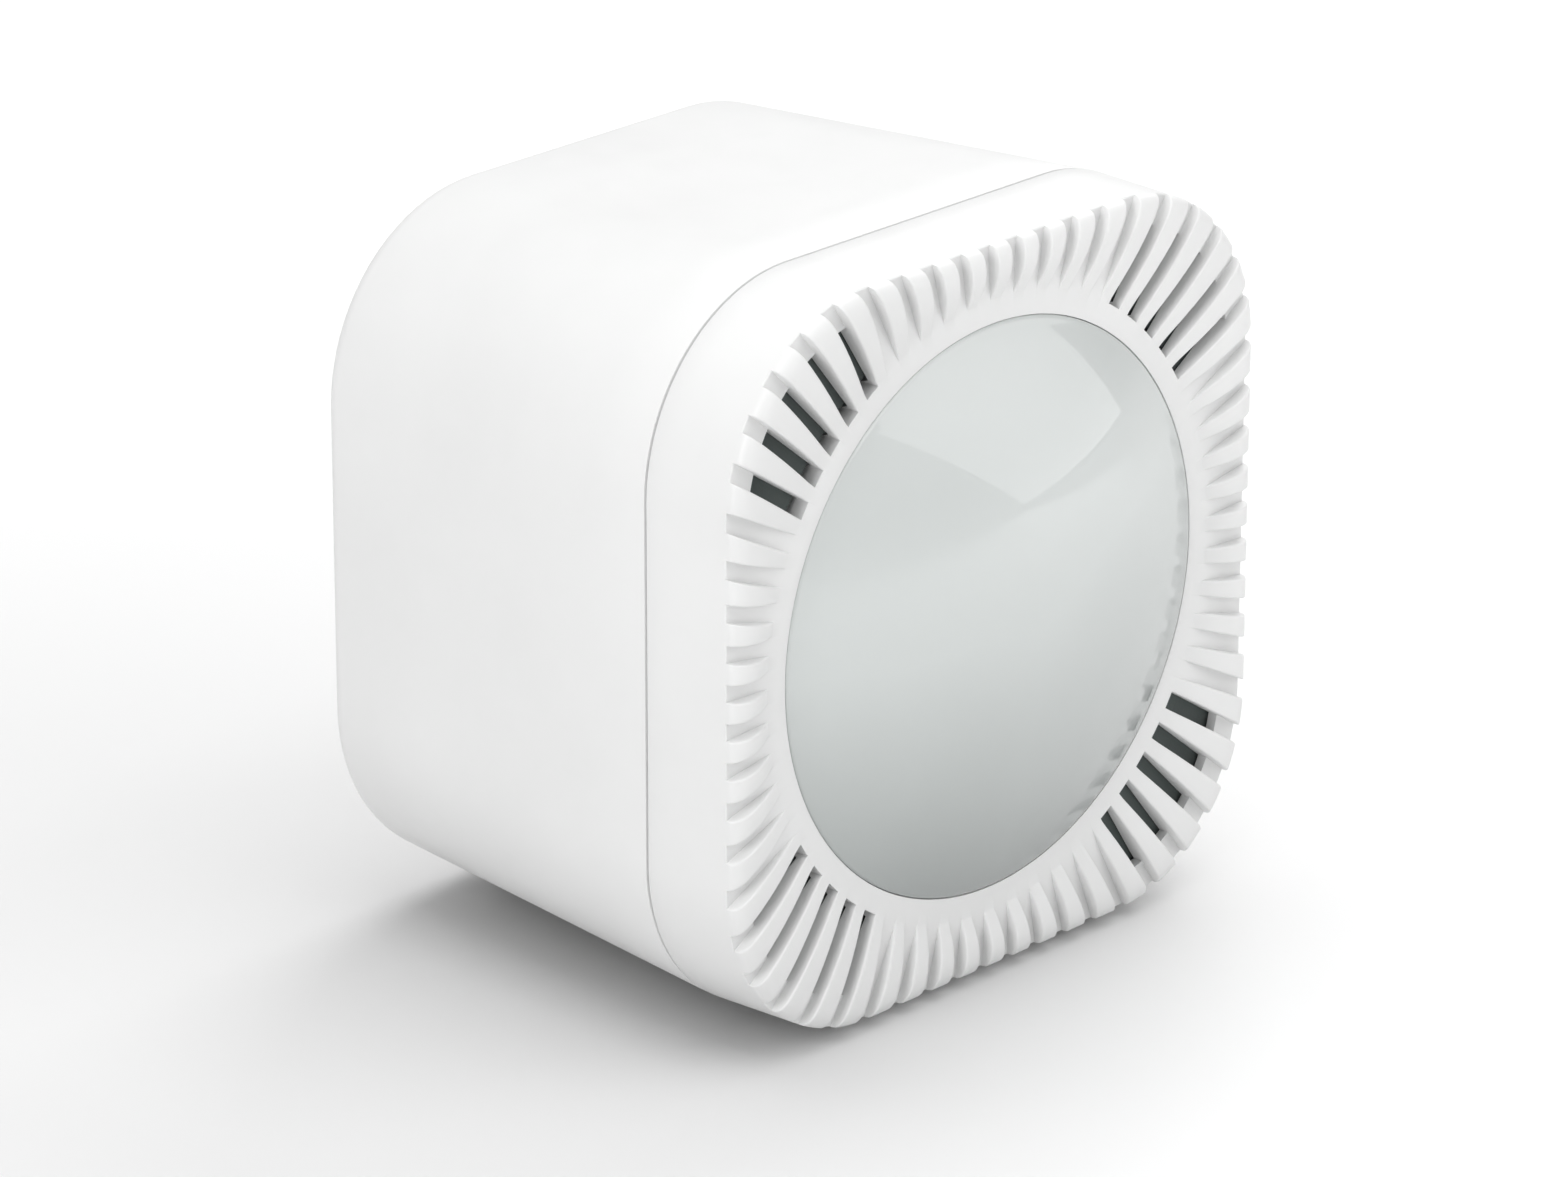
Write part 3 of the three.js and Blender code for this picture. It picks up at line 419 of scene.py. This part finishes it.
def skin_object(name, skin):
    """An object whose mesh is the skin, with its faces turned outwards."""
    mesh = bpy.data.meshes.new(name)
    mesh.from_pydata([place(*point) for point in skin.points], [], skin.faces)
    work = bmesh.new()
    work.from_mesh(mesh)
    bmesh.ops.recalc_face_normals(work, faces=work.faces)
    work.to_mesh(mesh)
    work.free()
    return new_object(name, mesh)


def bake_modifiers(piece):
    """Puts what the modifiers make into the mesh itself."""
    bpy.context.view_layer.update()
    graph = bpy.context.evaluated_depsgraph_get()
    made = bpy.data.meshes.new_from_object(piece.evaluated_get(graph))
    old = piece.data
    piece.modifiers.clear()
    piece.data = made
    bpy.data.meshes.remove(old)


def soften(piece, edge, segments=2, angle=35):
    """Rounds the edges that are sharper than the angle."""
    modifier = piece.modifiers.new("edges", "BEVEL")
    modifier.width = edge * MM
    modifier.segments = segments
    modifier.limit_method = "ANGLE"
    modifier.angle_limit = math.radians(angle)
    modifier.use_clamp_overlap = True


def carve(piece, cutters):
    """Cuts the cutters out of the piece, and removes them."""
    for cutter in cutters:
        modifier = piece.modifiers.new("cut", "BOOLEAN")
        modifier.operation = "DIFFERENCE"
        modifier.solver = "EXACT"
        modifier.object = cutter
    bake_modifiers(piece)
    for cutter in cutters:
        mesh = cutter.data
        bpy.data.objects.remove(cutter)
        bpy.data.meshes.remove(mesh)


REPLACED = set()


def dress(piece, body, slot, node, sharp=32):
    """Gives a finished piece its shading, material, body and the CAD node that it replaces."""
    piece.data.shade_smooth()
    piece.data.set_sharp_from_angle(angle=math.radians(sharp))
    piece.data.materials.clear()
    piece.data.materials.append(MATERIALS[slot])
    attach(piece, body)
    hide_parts(node)
    REPLACED.add(node)


def turned(name, profile, middle, steps=48, upright=False):
    """A body of revolution about a line along Y, or upright, from (radius, place on the line) points.

    middle is the line's (x, z), or its (x, y) if it is upright.
    """
    skin = Skin()
    rows = []
    for radius, along in profile:
        row = []
        for step in range(steps):
            turn = 2 * math.pi * step / steps
            first, second = middle[0] + radius * math.cos(turn), middle[1] + radius * math.sin(turn)
            row.append(skin.point(first, second, along) if upright else skin.point(first, along, second))
        rows.append(row)
    skin.strips(rows)
    return skin_object(name, skin)


def cylinder(name, radius, start, end, middle, steps=40, upright=False):
    return turned(name, [(0, start), (radius, start), (radius, end), (0, end)], middle, steps, upright)


# --- Outlines: distances from the axis, by polar angle -------------------------------------------------

def edge_distance(angle, half, corner):
    """Distance from the axis to the edge of a rounded square, at a polar angle."""
    along_x, along_z = abs(math.cos(angle)), abs(math.sin(angle))
    core = half - corner
    if along_z * half <= along_x * core:
        return half / along_x
    if along_x * half <= along_z * core:
        return half / along_z
    towards = along_x * core + along_z * core
    return towards + math.sqrt(towards ** 2 - core ** 2 - core ** 2 + corner ** 2)


def square(half, corner):
    return lambda angle: edge_distance(angle, half, corner)


def constant(value):
    """A circle's radius, or a flat height: the same at every polar angle."""
    return lambda angle: value


def between(inner, outer, way):
    return lambda angle: inner(angle) + way * (outer(angle) - inner(angle))


def rounded_ring(skin, y, half_x, half_z, corner, corner_steps=20, side_steps=6, middle=(0, 0)):
    """A row of points round a rounded rectangle, closer together on its corners."""
    sides = ((1, 1), (-1, 1), (-1, -1), (1, -1))

    def on_corner(quarter, turn):
        side_x, side_z = sides[quarter % 4]
        return (
            side_x * (half_x - corner) + corner * math.cos(turn),
            side_z * (half_z - corner) + corner * math.sin(turn))

    row = []
    for quarter in range(4):
        turns = [(quarter + step / corner_steps) * math.pi / 2 for step in range(corner_steps + 1)]
        row += [on_corner(quarter, turn) for turn in turns]
        last_x, last_z = row[-1]
        next_x, next_z = on_corner(quarter + 1, (quarter + 1) * math.pi / 2)
        for step in range(1, side_steps):
            way = step / side_steps
            row.append((last_x + way * (next_x - last_x), last_z + way * (next_z - last_z)))
    return [skin.point(x + middle[0], y, z + middle[1]) for x, z in row]


# --- Front bezel --------------------------------------------------------------------------------------

# A line of points across the front, from the mouth to the seam: its groove, whether it is on the groove's
# floor or on the rib after it, its angle on an outline, and how far down a rib's rounded edge it lies
Column = namedtuple("Column", "groove kind angle drop")

# A line of points round the front: the ribs' outline, their height at an angle, the floors' outline
Row = namedtuple("Row", "outline height floor")


def groove_angle(groove, offset, outline):
    """Polar angle of the point at an offset beside a groove's middle line, on an outline."""
    middle = (groove + 0.5) * PITCH
    angle = middle
    for _ in range(6):  # rounds, since the outline's distance changes with the angle
        angle = middle + math.asin(offset / outline(angle))
    return angle


def beside(groove, offset):
    return lambda outline: groove_angle(groove, offset, outline)


def across_rib(groove, way):
    def angle(outline):
        start = groove_angle(groove, GROOVE_HALF + RIB_EDGE, outline)
        end = groove_angle(groove + 1, -GROOVE_HALF - RIB_EDGE, outline)
        return start + way * (end - start)
    return angle


def front_columns():
    edge = []
    for turn in map(math.radians, RIB_EDGE_TURNS):
        edge.append((GROOVE_HALF + RIB_EDGE * (1 - math.cos(turn)), 1 - math.sin(turn)))
    columns = []
    for groove in range(GROOVES):
        columns += [Column(groove, "floor", beside(groove, GROOVE_HALF * way), 0) for way in FLOOR_WAYS]
        columns += [Column(groove, "rib", beside(groove, offset), drop) for offset, drop in edge]
        columns += [Column(groove, "rib", across_rib(groove, way), 0) for way in RIB_WAYS]
        columns += [Column(groove, "rib", beside(groove + 1, -offset), drop) for offset, drop in edge[::-1]]
    return columns


def front_rows():
    """Rows from the ring's edge out to the crest of the ribs, and over it to the wall."""
    ring = constant(RING_OUTER)
    window = square(WINDOW_HALF, WINDOW_CORNER)
    crest = square(FRONT_HALF - CREST_INSET, FRONT_CORNER - CREST_INSET)

    def rise(outline):
        def height(angle):
            way = (outline(angle) - RING_OUTER) / (crest(angle) - RING_OUTER)
            return -RIB_RISE * math.sin(min(1.0, max(0.0, way)) * math.pi / 2)
        return height

    outlines = [between(ring, window, way) for way in RING_TO_WINDOW]
    outlines += [between(window, crest, way) for way in WINDOW_TO_CREST]
    rows = [Row(outline, rise(outline), outline) for outline in outlines]
    for turn in map(math.radians, ROLL_TURNS):
        inset = CREST_INSET * (1 - math.sin(turn))
        floor_inset = max(inset, FLOOR_EDGE)
        rows.append(Row(
            square(FRONT_HALF - inset, FRONT_CORNER - inset),
            constant(ROLL_END + (-RIB_RISE - ROLL_END) * math.cos(turn)),
            square(FRONT_HALF - floor_inset, FRONT_CORNER - floor_inset)))
    return rows


def is_window(groove):
    quarter = GROOVES // 4
    first = (quarter - WINDOWS_PER_CORNER) // 2
    return first <= groove % quarter < first + WINDOWS_PER_CORNER


def in_cove(x, z):
    """Whether a point of the plate's back is in a corner, where the plate is thin round the windows."""
    return abs(abs(x) - abs(z)) < math.sqrt(2) * COVE_HALF


class BezelSkin(Skin):
    """The skin of the front moulding, on the grid of its columns and rows."""

    def __init__(self):
        super().__init__()
        self.columns = front_columns()

    def spot(self, column, outline, height, thin=None):
        """A column's point on an outline. Where a cove is, it takes the thin height, if there is one."""
        angle = column.angle(outline)
        radius = outline(angle)
        x, z = radius * math.cos(angle), radius * math.sin(angle)
        return self.point(x, thin if thin is not None and in_cove(x, z) else height(angle), z)

    def row(self, outline, y, thin=None):
        return [self.spot(column, outline, constant(y), thin) for column in self.columns]

    def mouth(self):
        """From the plate's back through the dome's opening, round its edge and onto the flat ring."""
        rows = [self.row(constant(RING_INNER), PLATE), self.row(constant(RING_INNER), MOUTH_EDGE)]
        for turn in map(math.radians, MOUTH_TURNS):
            radius = RING_INNER + MOUTH_EDGE * (1 - math.cos(turn))
            rows.append(self.row(constant(radius), MOUTH_EDGE * (1 - math.sin(turn))))
        rows.append(self.row(constant((RING_INNER + RING_OUTER) / 2), 0))
        return rows

    def face_spot(self, column, row):
        if column.kind == "floor":
            return self.spot(column, row.floor, constant(0))

        def height(angle):
            rise = row.height(angle)
            return rise + min(RIB_EDGE, -rise) * column.drop
        return self.spot(column, row.outline, height)

    def wall(self):
        """Down the side wall, round its edge at the seam, and up inside it to the plate's back."""
        seam = SEAM_Y - SEAM_GAP / 2
        rows = [self.row(square(FRONT_HALF, FRONT_CORNER), FLOOR_EDGE)]
        for way in WALL_WAYS:
            y = FLOOR_EDGE + way * (seam - LIP - FLOOR_EDGE)
            grow = (SEAM_HALF - FRONT_HALF) * way
            rows.append(self.row(square(FRONT_HALF + grow, FRONT_CORNER + grow), y))
        for inset, rise in ((LIP_MIDDLE, LIP_MIDDLE), (LIP, 0), (WALL, 0)):
            rows.append(self.row(square(SEAM_HALF - inset, SEAM_CORNER - inset), seam - rise))
        half, corner = FRONT_HALF - WALL, FRONT_CORNER - WALL
        rows.append(self.row(square(half, corner), PLATE + PLATE_STEP, WINDOW_PLATE + LIP))
        rows.append(self.row(square(half - PLATE_STEP, corner - PLATE_STEP), PLATE, WINDOW_PLATE))
        return rows

    def back(self, window_rows):
        """The plate's back, from the outer ends of the windows in to the ring."""
        rows = [self.row(row.outline, PLATE, WINDOW_PLATE) for row in reversed(window_rows[1:])]
        rows.append(self.row(window_rows[0].outline, PLATE))
        return rows

    def windowed_strips(self, rows):
        """Quads between rows of points, except on the floors of the grooves that have a window."""
        for first, second in zip(rows, rows[1:]):
            for step, column in enumerate(self.columns):
                follow = self.columns[(step + 1) % len(self.columns)]
                if not (column.kind == follow.kind == "floor" and is_window(column.groove)):
                    self.cell(first, second, step)

    def window_walls(self, front, back):
        """The walls of each window, from the groove's floor through the plate."""
        last = len(front) - 1
        for groove in filter(is_window, range(GROOVES)):
            steps = [
                step for step, column in enumerate(self.columns)
                if column.groove == groove and column.kind == "floor"]
            loop = [(row, steps[0]) for row in range(last + 1)]
            loop += [(last, step) for step in steps[1:]]
            loop += [(row, steps[-1]) for row in range(last - 1, -1, -1)]
            loop += [(0, step) for step in reversed(steps[1:-1])]
            self.strips([[front[row][step] for row, step in loop], [back[row][step] for row, step in loop]])


def front_bezel():
    skin = BezelSkin()
    rows = front_rows()
    windows = len(RING_TO_WINDOW)
    mouth = skin.mouth()
    face = [[skin.face_spot(column, row) for column in skin.columns] for row in rows]
    wall = skin.wall()
    back = skin.back(rows[:windows])
    skin.strips([*mouth, face[0]])
    skin.windowed_strips(face[:windows])
    skin.strips([*face[windows - 1:], *wall, back[0]])
    skin.windowed_strips(back)
    skin.strips([back[-1], mouth[0]])
    skin.window_walls(face[:windows], back[::-1])
    dress(skin_object("bezel_moulding", skin), "casing", "shell_white", "front_bezel")


# --- Rear housing -------------------------------------------------------------------------------------

def tapered(y, at_seam, at_rear):
    """A size of the housing's outside at a depth, from its sizes at the seam and at the rear."""
    return at_seam + (y - SEAM_Y) / (DEPTH - SEAM_Y) * (at_rear - at_seam)


def rear_shell_skin():
    """The housing without its holes: the rim, the outside, the rounded rear edge, then the inside."""
    skin = Skin()
    seam = SEAM_Y + SEAM_GAP / 2
    side_start, side_end = seam + LIP, DEPTH - REAR_EDGE
    side_steps, edge_steps, inner_steps = 6, 8, 4

    def row(y, inset):
        half_x, half_z = tapered(y, SEAM_HALF, REAR_HALF_X), tapered(y, SEAM_HALF, REAR_HALF_Z)
        corner = tapered(y, SEAM_CORNER, REAR_CORNER)
        return rounded_ring(skin, y, half_x - inset, half_z - inset, corner - inset)

    outer = [row(seam + back, inset) for back, inset in (
        (RIM, WALL), (0, WALL), (0, LIP), (LIP_MIDDLE, LIP_MIDDLE), (LIP, 0))]
    for step in range(1, side_steps + 1):
        outer.append(row(side_start + (side_end - side_start) * step / side_steps, 0))
    for step in range(1, edge_steps + 1):
        turn = math.pi / 2 * step / edge_steps
        outer.append(row(side_end + REAR_EDGE * math.sin(turn), REAR_EDGE * (1 - math.cos(turn))))
    rim = seam + RIM
    inner = [row(rim + (INNER_REAR - rim) * step / inner_steps, WALL) for step in range(inner_steps + 1)]
    skin.strips(outer)
    skin.strips(inner)
    skin.cap(outer[-1])
    skin.cap(inner[-1])
    return skin


def round_ended_bar(name, middle, half_x, half_z, start, end, corner_steps):
    """A solid bar along Y whose section has round ends."""
    skin = Skin()
    corner = min(half_x, half_z) * ROUND_END
    rows = [rounded_ring(skin, y, half_x, half_z, corner, corner_steps, 1, middle) for y in (start, end)]
    skin.strips(rows)
    skin.cap(rows[0])
    skin.cap(rows[1])
    return skin_object(name, skin)


def rear_housing():
    piece = skin_object("housing_moulding", rear_shell_skin())
    through = INNER_REAR - OVERSHOOT, DEPTH + OVERSHOOT
    cutters = [
        round_ended_bar("cut_usb", USB, *USB_MOUTH, *through, corner_steps=10),
        cylinder("cut_button", BUTTON_HOLE, *through, BUTTON, steps=64)]
    for corner in CORNERS:
        cutters.append(cylinder("cut_screw", SCREW_HOLE, *through, corner))
        cutters.append(cylinder(
            "cut_head", COUNTERBORE, DEPTH - COUNTERBORE_DEPTH, DEPTH + OVERSHOOT, corner, steps=48))
    for slot in range(SLOTS):
        middle = (slot - (SLOTS - 1) / 2) * SLOT_PITCH, (SLOT_LOW + SLOT_HIGH) / 2
        cutters.append(round_ended_bar(
            "cut_slot", middle, SLOT_HALF, (SLOT_HIGH - SLOT_LOW) / 2, *through, corner_steps=8))
    for y in FOOT_ROWS:
        underside = -tapered(y, SEAM_HALF, REAR_HALF_Z)
        for x in (-FOOT_X, FOOT_X):
            cutters.append(cylinder(
                "cut_foot", FOOT_RADIUS + FOOT_CLEARANCE, -SEAM_HALF - 2 * OVERSHOOT,
                underside + FOOT_POCKET, (x, y), steps=48, upright=True))
    carve(piece, cutters)
    soften(piece, REAR_ROUNDING)
    bake_modifiers(piece)
    dress(piece, "casing", "shell_white", "rear_housing")


# --- Dome, screws, feet, button, socket ----------------------------------------------------------------

def light_dome():
    """A shallow cap that rolls over into a short wall, with a flange behind the plate."""
    sphere = (DOME_RADIUS ** 2 + DOME_RISE ** 2) / (2 * DOME_RISE)
    cap_steps, roll_steps = 48, 8
    inner = DOME_RADIUS - DOME_SKIN
    roll_radius = DOME_RADIUS - DOME_ROLL

    def cap(radius, edge):
        turns = [math.asin(edge / radius) * step / cap_steps for step in range(cap_steps + 1)]
        return [(radius * math.sin(turn), sphere - DOME_RISE - radius * math.cos(turn)) for turn in turns]

    profile = cap(sphere, roll_radius)
    low = profile[-1][1]
    start = math.asin(roll_radius / sphere)
    for step in range(1, roll_steps + 1):
        turn = start + (math.pi / 2 - start) * step / roll_steps
        profile.append((
            roll_radius + DOME_ROLL * (math.sin(turn) - math.sin(start)) / (1 - math.sin(start)),
            low + DOME_ROLL * (math.cos(start) - math.cos(turn)) / math.cos(start)))
    profile += [
        (DOME_RADIUS, FLANGE_FRONT), (FLANGE_RADIUS - FLANGE_EDGE, FLANGE_FRONT),
        (FLANGE_RADIUS, FLANGE_FRONT + FLANGE_EDGE), (FLANGE_RADIUS, FLANGE_REAR - FLANGE_EDGE),
        (FLANGE_RADIUS - FLANGE_EDGE, FLANGE_REAR), (inner, FLANGE_REAR),
        *reversed(cap(sphere - DOME_SKIN, inner)),
    ]
    dress(turned("dome_lens", profile, (0, 0), steps=192), "casing", "dome_smoke", "light_dome", sharp=40)


def screw(name, node, middle):
    """A domed cap screw whose head is at the rear, with a hexagonal socket."""
    front, rear = span_y(node)
    under = rear - SCREW_HEAD_HEIGHT
    shoulder = rear - SCREW_HEAD_ROLL
    y = front + SCREW_TIP_LENGTH
    profile = [(0, front), (SCREW_TIP, front), (THREAD_CREST, y)]
    while y + THREAD_PITCH < under - THREAD_PITCH:
        profile += [(THREAD_CREST, y), (THREAD_ROOT, y + THREAD_PITCH / 2)]
        y += THREAD_PITCH
    profile += [(THREAD_CREST, y), (THREAD_CREST, under), (SCREW_HEAD - SCREW_HEAD_EDGE, under),
                (SCREW_HEAD, under + SCREW_HEAD_EDGE)]
    for turn in map(math.radians, (0, 25, 45, 60)):
        profile.append((SCREW_HEAD * math.cos(turn), shoulder + SCREW_HEAD_ROLL * math.sin(turn)))
    profile += [(SCREW_HEAD_FLAT, rear), (0, rear)]
    piece = turned(name, profile, middle, steps=32)
    carve(piece, [cylinder("cut_socket", HEX_RADIUS, rear - HEX_DEPTH, rear + OVERSHOOT, middle, steps=6)])
    dress(piece, "casing", "steel", node, sharp=40)


def foot(name, node, middle):
    """A soft round pad with a rolled lower edge and a shallow ring in its sole."""
    low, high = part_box(node)
    bottom, top = (low.z - MID_Z) / MM, (high.z - MID_Z) / MM
    inner, groove, outer = (FOOT_RADIUS - inset for inset in FOOT_GROOVE)
    profile = [(0, bottom), (inner, bottom), (groove, bottom + FOOT_GROOVE_DEPTH), (outer, bottom)]
    for turn in map(math.radians, (0, 30, 60, 90)):
        profile.append((
            FOOT_RADIUS - FOOT_ROLL + FOOT_ROLL * math.sin(turn),
            bottom + FOOT_ROLL - FOOT_ROLL * math.cos(turn)))
    profile += [(FOOT_RADIUS, top - FOOT_TOP_EDGE), (FOOT_RADIUS - FOOT_TOP_EDGE, top), (0, top)]
    dress(turned(name, profile, middle, upright=True), "casing", "rubber_dark", node)


def rear_button():
    """A round cap with a dished end, on a stem with a flange that keeps it inside the wall."""
    front, rear = span_y("rear_button")
    flange_rear = INNER_REAR - BUTTON_GAP
    flange_front = flange_rear - BUTTON_FLANGE_THICKNESS
    profile = [
        (0, front), (BUTTON_STEM - BUTTON_CHAMFER, front), (BUTTON_STEM, front + BUTTON_CHAMFER),
        (BUTTON_STEM, flange_front), (BUTTON_FLANGE - BUTTON_CHAMFER, flange_front),
        (BUTTON_FLANGE, flange_front + BUTTON_CHAMFER), (BUTTON_FLANGE, flange_rear - BUTTON_CHAMFER),
        (BUTTON_FLANGE - BUTTON_CHAMFER, flange_rear), (BUTTON_RADIUS, flange_rear),
        (BUTTON_RADIUS, rear - BUTTON_EDGE)]
    for turn in map(math.radians, (22, 45, 68, 90)):
        profile.append((
            BUTTON_RADIUS - BUTTON_EDGE * (1 - math.cos(turn)), rear - BUTTON_EDGE * (1 - math.sin(turn))))
    profile += [
        (BUTTON_DISH_RADIUS, rear - 0.2 * BUTTON_DISH), (BUTTON_DISH_RADIUS / 2, rear - 0.8 * BUTTON_DISH),
        (0, rear - BUTTON_DISH)]
    dress(turned("button_cap", profile, BUTTON, steps=64), "button", "shell_white", "rear_button")


def usb_shell():
    """A drawn metal sleeve round an open mouth."""
    front, rear = span_y("usb_shell")
    half_x, half_z = USB_SHELL
    skin = Skin()
    rows = []
    for y, inset in (
            (front, 0), (rear - 1.5 * USB_ROLL, 0), (rear, USB_ROLL), (rear, USB_SKIN - USB_ROLL),
            (rear - 2 * USB_ROLL, USB_SKIN), (front + USB_FLOOR, USB_SKIN)):
        corner = (half_z - inset) * ROUND_END
        rows.append(rounded_ring(
            skin, y, half_x - inset, half_z - inset, corner, corner_steps=12, side_steps=1, middle=USB))
    skin.strips(rows)
    skin.cap(rows[0])
    skin.cap(rows[-1])
    dress(skin_object("usb_sleeve", skin), "casing", "steel", "usb_shell")


front_bezel()
rear_housing()
light_dome()
for number, corner in enumerate(CORNERS, 1):
    screw(f"rear_cap_screw_{number}", f"rear_screw_{number}", corner)
for number, middle in enumerate([(x, y) for y in FOOT_ROWS for x in (-FOOT_X, FOOT_X)], 1):
    foot(f"foot_pad_{number}", f"foot_{number}", middle)
rear_button()
usb_shell()

# --- Inner pieces: the CAD nodes, with their edges rounded ----------------------------------------------

SLOT_OF = {entry["node"]: entry["material_slot"] for entry in frame["record"]["subparts"]}
for node, piece in frame["nodes"].items():
    if node in REPLACED:
        continue
    soften(piece, INNER_ROUNDING)
    piece.data.materials.clear()
    piece.data.materials.append(MATERIALS[SLOT_OF[node]])

# --- Floor and light: metres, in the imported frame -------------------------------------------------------

FLOOR_HALF = 6.0
FLOOR_SHADOW_MIDDLE = (0.04, 0, 0)  # shift of the floor's painted shadow, its darker middle
FLOOR_SHADOW_NEAR, FLOOR_SHADOW_FAR = 0.07, 0.28  # distances over which the painted shadow fades into whiter paper
SKY_LEVEL, SKY_ZENITH = 0.35, 0.56  # strength of the sky at the horizon and straight up
AIM = (0, 0, 0.05)  # a point inside the casing


def make_floor():
    """A wide sheet of pale paper with a painted shadow: darker round the casing, whiter further out."""
    mesh = bpy.data.meshes.new("floor")
    half = FLOOR_HALF
    corners = [(-half, -half, 0), (half, -half, 0), (half, half, 0), (-half, half, 0)]
    mesh.from_pydata(corners, [], [(0, 1, 2, 3)])
    floor = new_object("floor", mesh)
    nodes = Nodes("floor_paper_painted_shadow")
    middle = nodes.node("ShaderNodeMapping", {"Vector": nodes.coords}, Location=FLOOR_SHADOW_MIDDLE)
    distance = nodes.node("ShaderNodeVectorMath", {"Vector": middle.outputs["Vector"]}, operation="LENGTH")
    cloud = nodes.span(nodes.noise(scale=6, detail=3), low=-0.004, high=0.004)
    distance = nodes.plus(distance.outputs["Value"], cloud)
    shadow_fade = nodes.span(distance, low=0, high=1, start=FLOOR_SHADOW_NEAR, end=FLOOR_SHADOW_FAR)
    # Painted shadow: the paper's colour darkens toward the casing, in place of shade
    nodes.into("Base Color", nodes.ramp(shadow_fade, [(0.0, (0.81, 0.81, 0.81)), (1.0, (0.99, 0.99, 0.99))]))
    mesh.materials.append(nodes.set(Roughness=0.9))
    return floor


def area_light(name, position, target, width, height, power):
    data = bpy.data.lights.new(name, "AREA")
    data.shape = "RECTANGLE"
    data.size, data.size_y = width, height
    data.energy = power
    light = bpy.data.objects.new(name, data)
    bpy.context.scene.collection.objects.link(light)
    light.location = position
    light.rotation_euler = (Vector(target) - Vector(position)).to_track_quat("-Z", "Y").to_euler()
    return light


def softbox(name, corner, along, across, width, height, power):
    """A rectangular panel given by one corner and the directions of its two edges; it faces the object."""
    along, across = Vector(along).normalized(), Vector(across).normalized()
    facing = along.cross(across)
    middle = Vector(corner) + along * width / 2 + across * height / 2
    light = area_light(name, middle, middle + facing, width, height, power)
    light.rotation_euler = Matrix((along, -across, -facing)).transposed().to_euler()


def spare(light, stage):
    """Keeps a light off one object, so that it throws no second shadow there."""
    others = bpy.data.collections.new("lit_by_others")
    others.objects.link(stage)
    others.collection_objects[0].light_linking.link_state = "EXCLUDE"
    light.light_linking.receiver_collection = others


def make_sky():
    """A white sky, stronger overhead."""
    world = bpy.data.worlds.new("studio")
    bpy.context.scene.world = world
    world.use_nodes = True
    tree = world.node_tree
    direction = tree.nodes.new("ShaderNodeTexCoord").outputs["Generated"]
    axes = tree.nodes.new("ShaderNodeSeparateXYZ")
    tree.links.new(direction, axes.inputs["Vector"])
    fall = tree.nodes.new("ShaderNodeMapRange")
    fall.inputs["To Min"].default_value = SKY_LEVEL
    fall.inputs["To Max"].default_value = SKY_ZENITH
    tree.links.new(axes.outputs["Z"], fall.inputs["Value"])
    tree.links.new(fall.outputs["Result"], tree.nodes["Background"].inputs["Strength"])
    tree.nodes["Background"].inputs["Color"].default_value = (1, 1, 1, 1)


def make_lights(floor):
    area_light("overhead", (0, 0, 0.9), target=(0, 0, 0), width=1.0, height=1.0, power=4.85)
    area_light("right_key", (0.52, 0.2, 0.5), target=AIM, width=0.4, height=0.4, power=1.5)
    area_light("left_fill", (-0.6, -0.15, 0.07), target=AIM, width=0.3, height=0.1, power=0.4)
    left = area_light("left_key", (-0.46, -0.12, 0.27), target=AIM, width=0.2, height=0.2, power=0.85)
    spare(left, floor)
    softbox(
        "leaning_panel", (0.333, -0.402, 0.008), along=(-0.846, -0.046, 0.535), across=(0, 0.996, 0.087),
        width=0.5, height=0.26, power=0.48)
    bpy.context.scene.view_settings.view_transform = "Standard"


make_sky()
make_lights(make_floor())
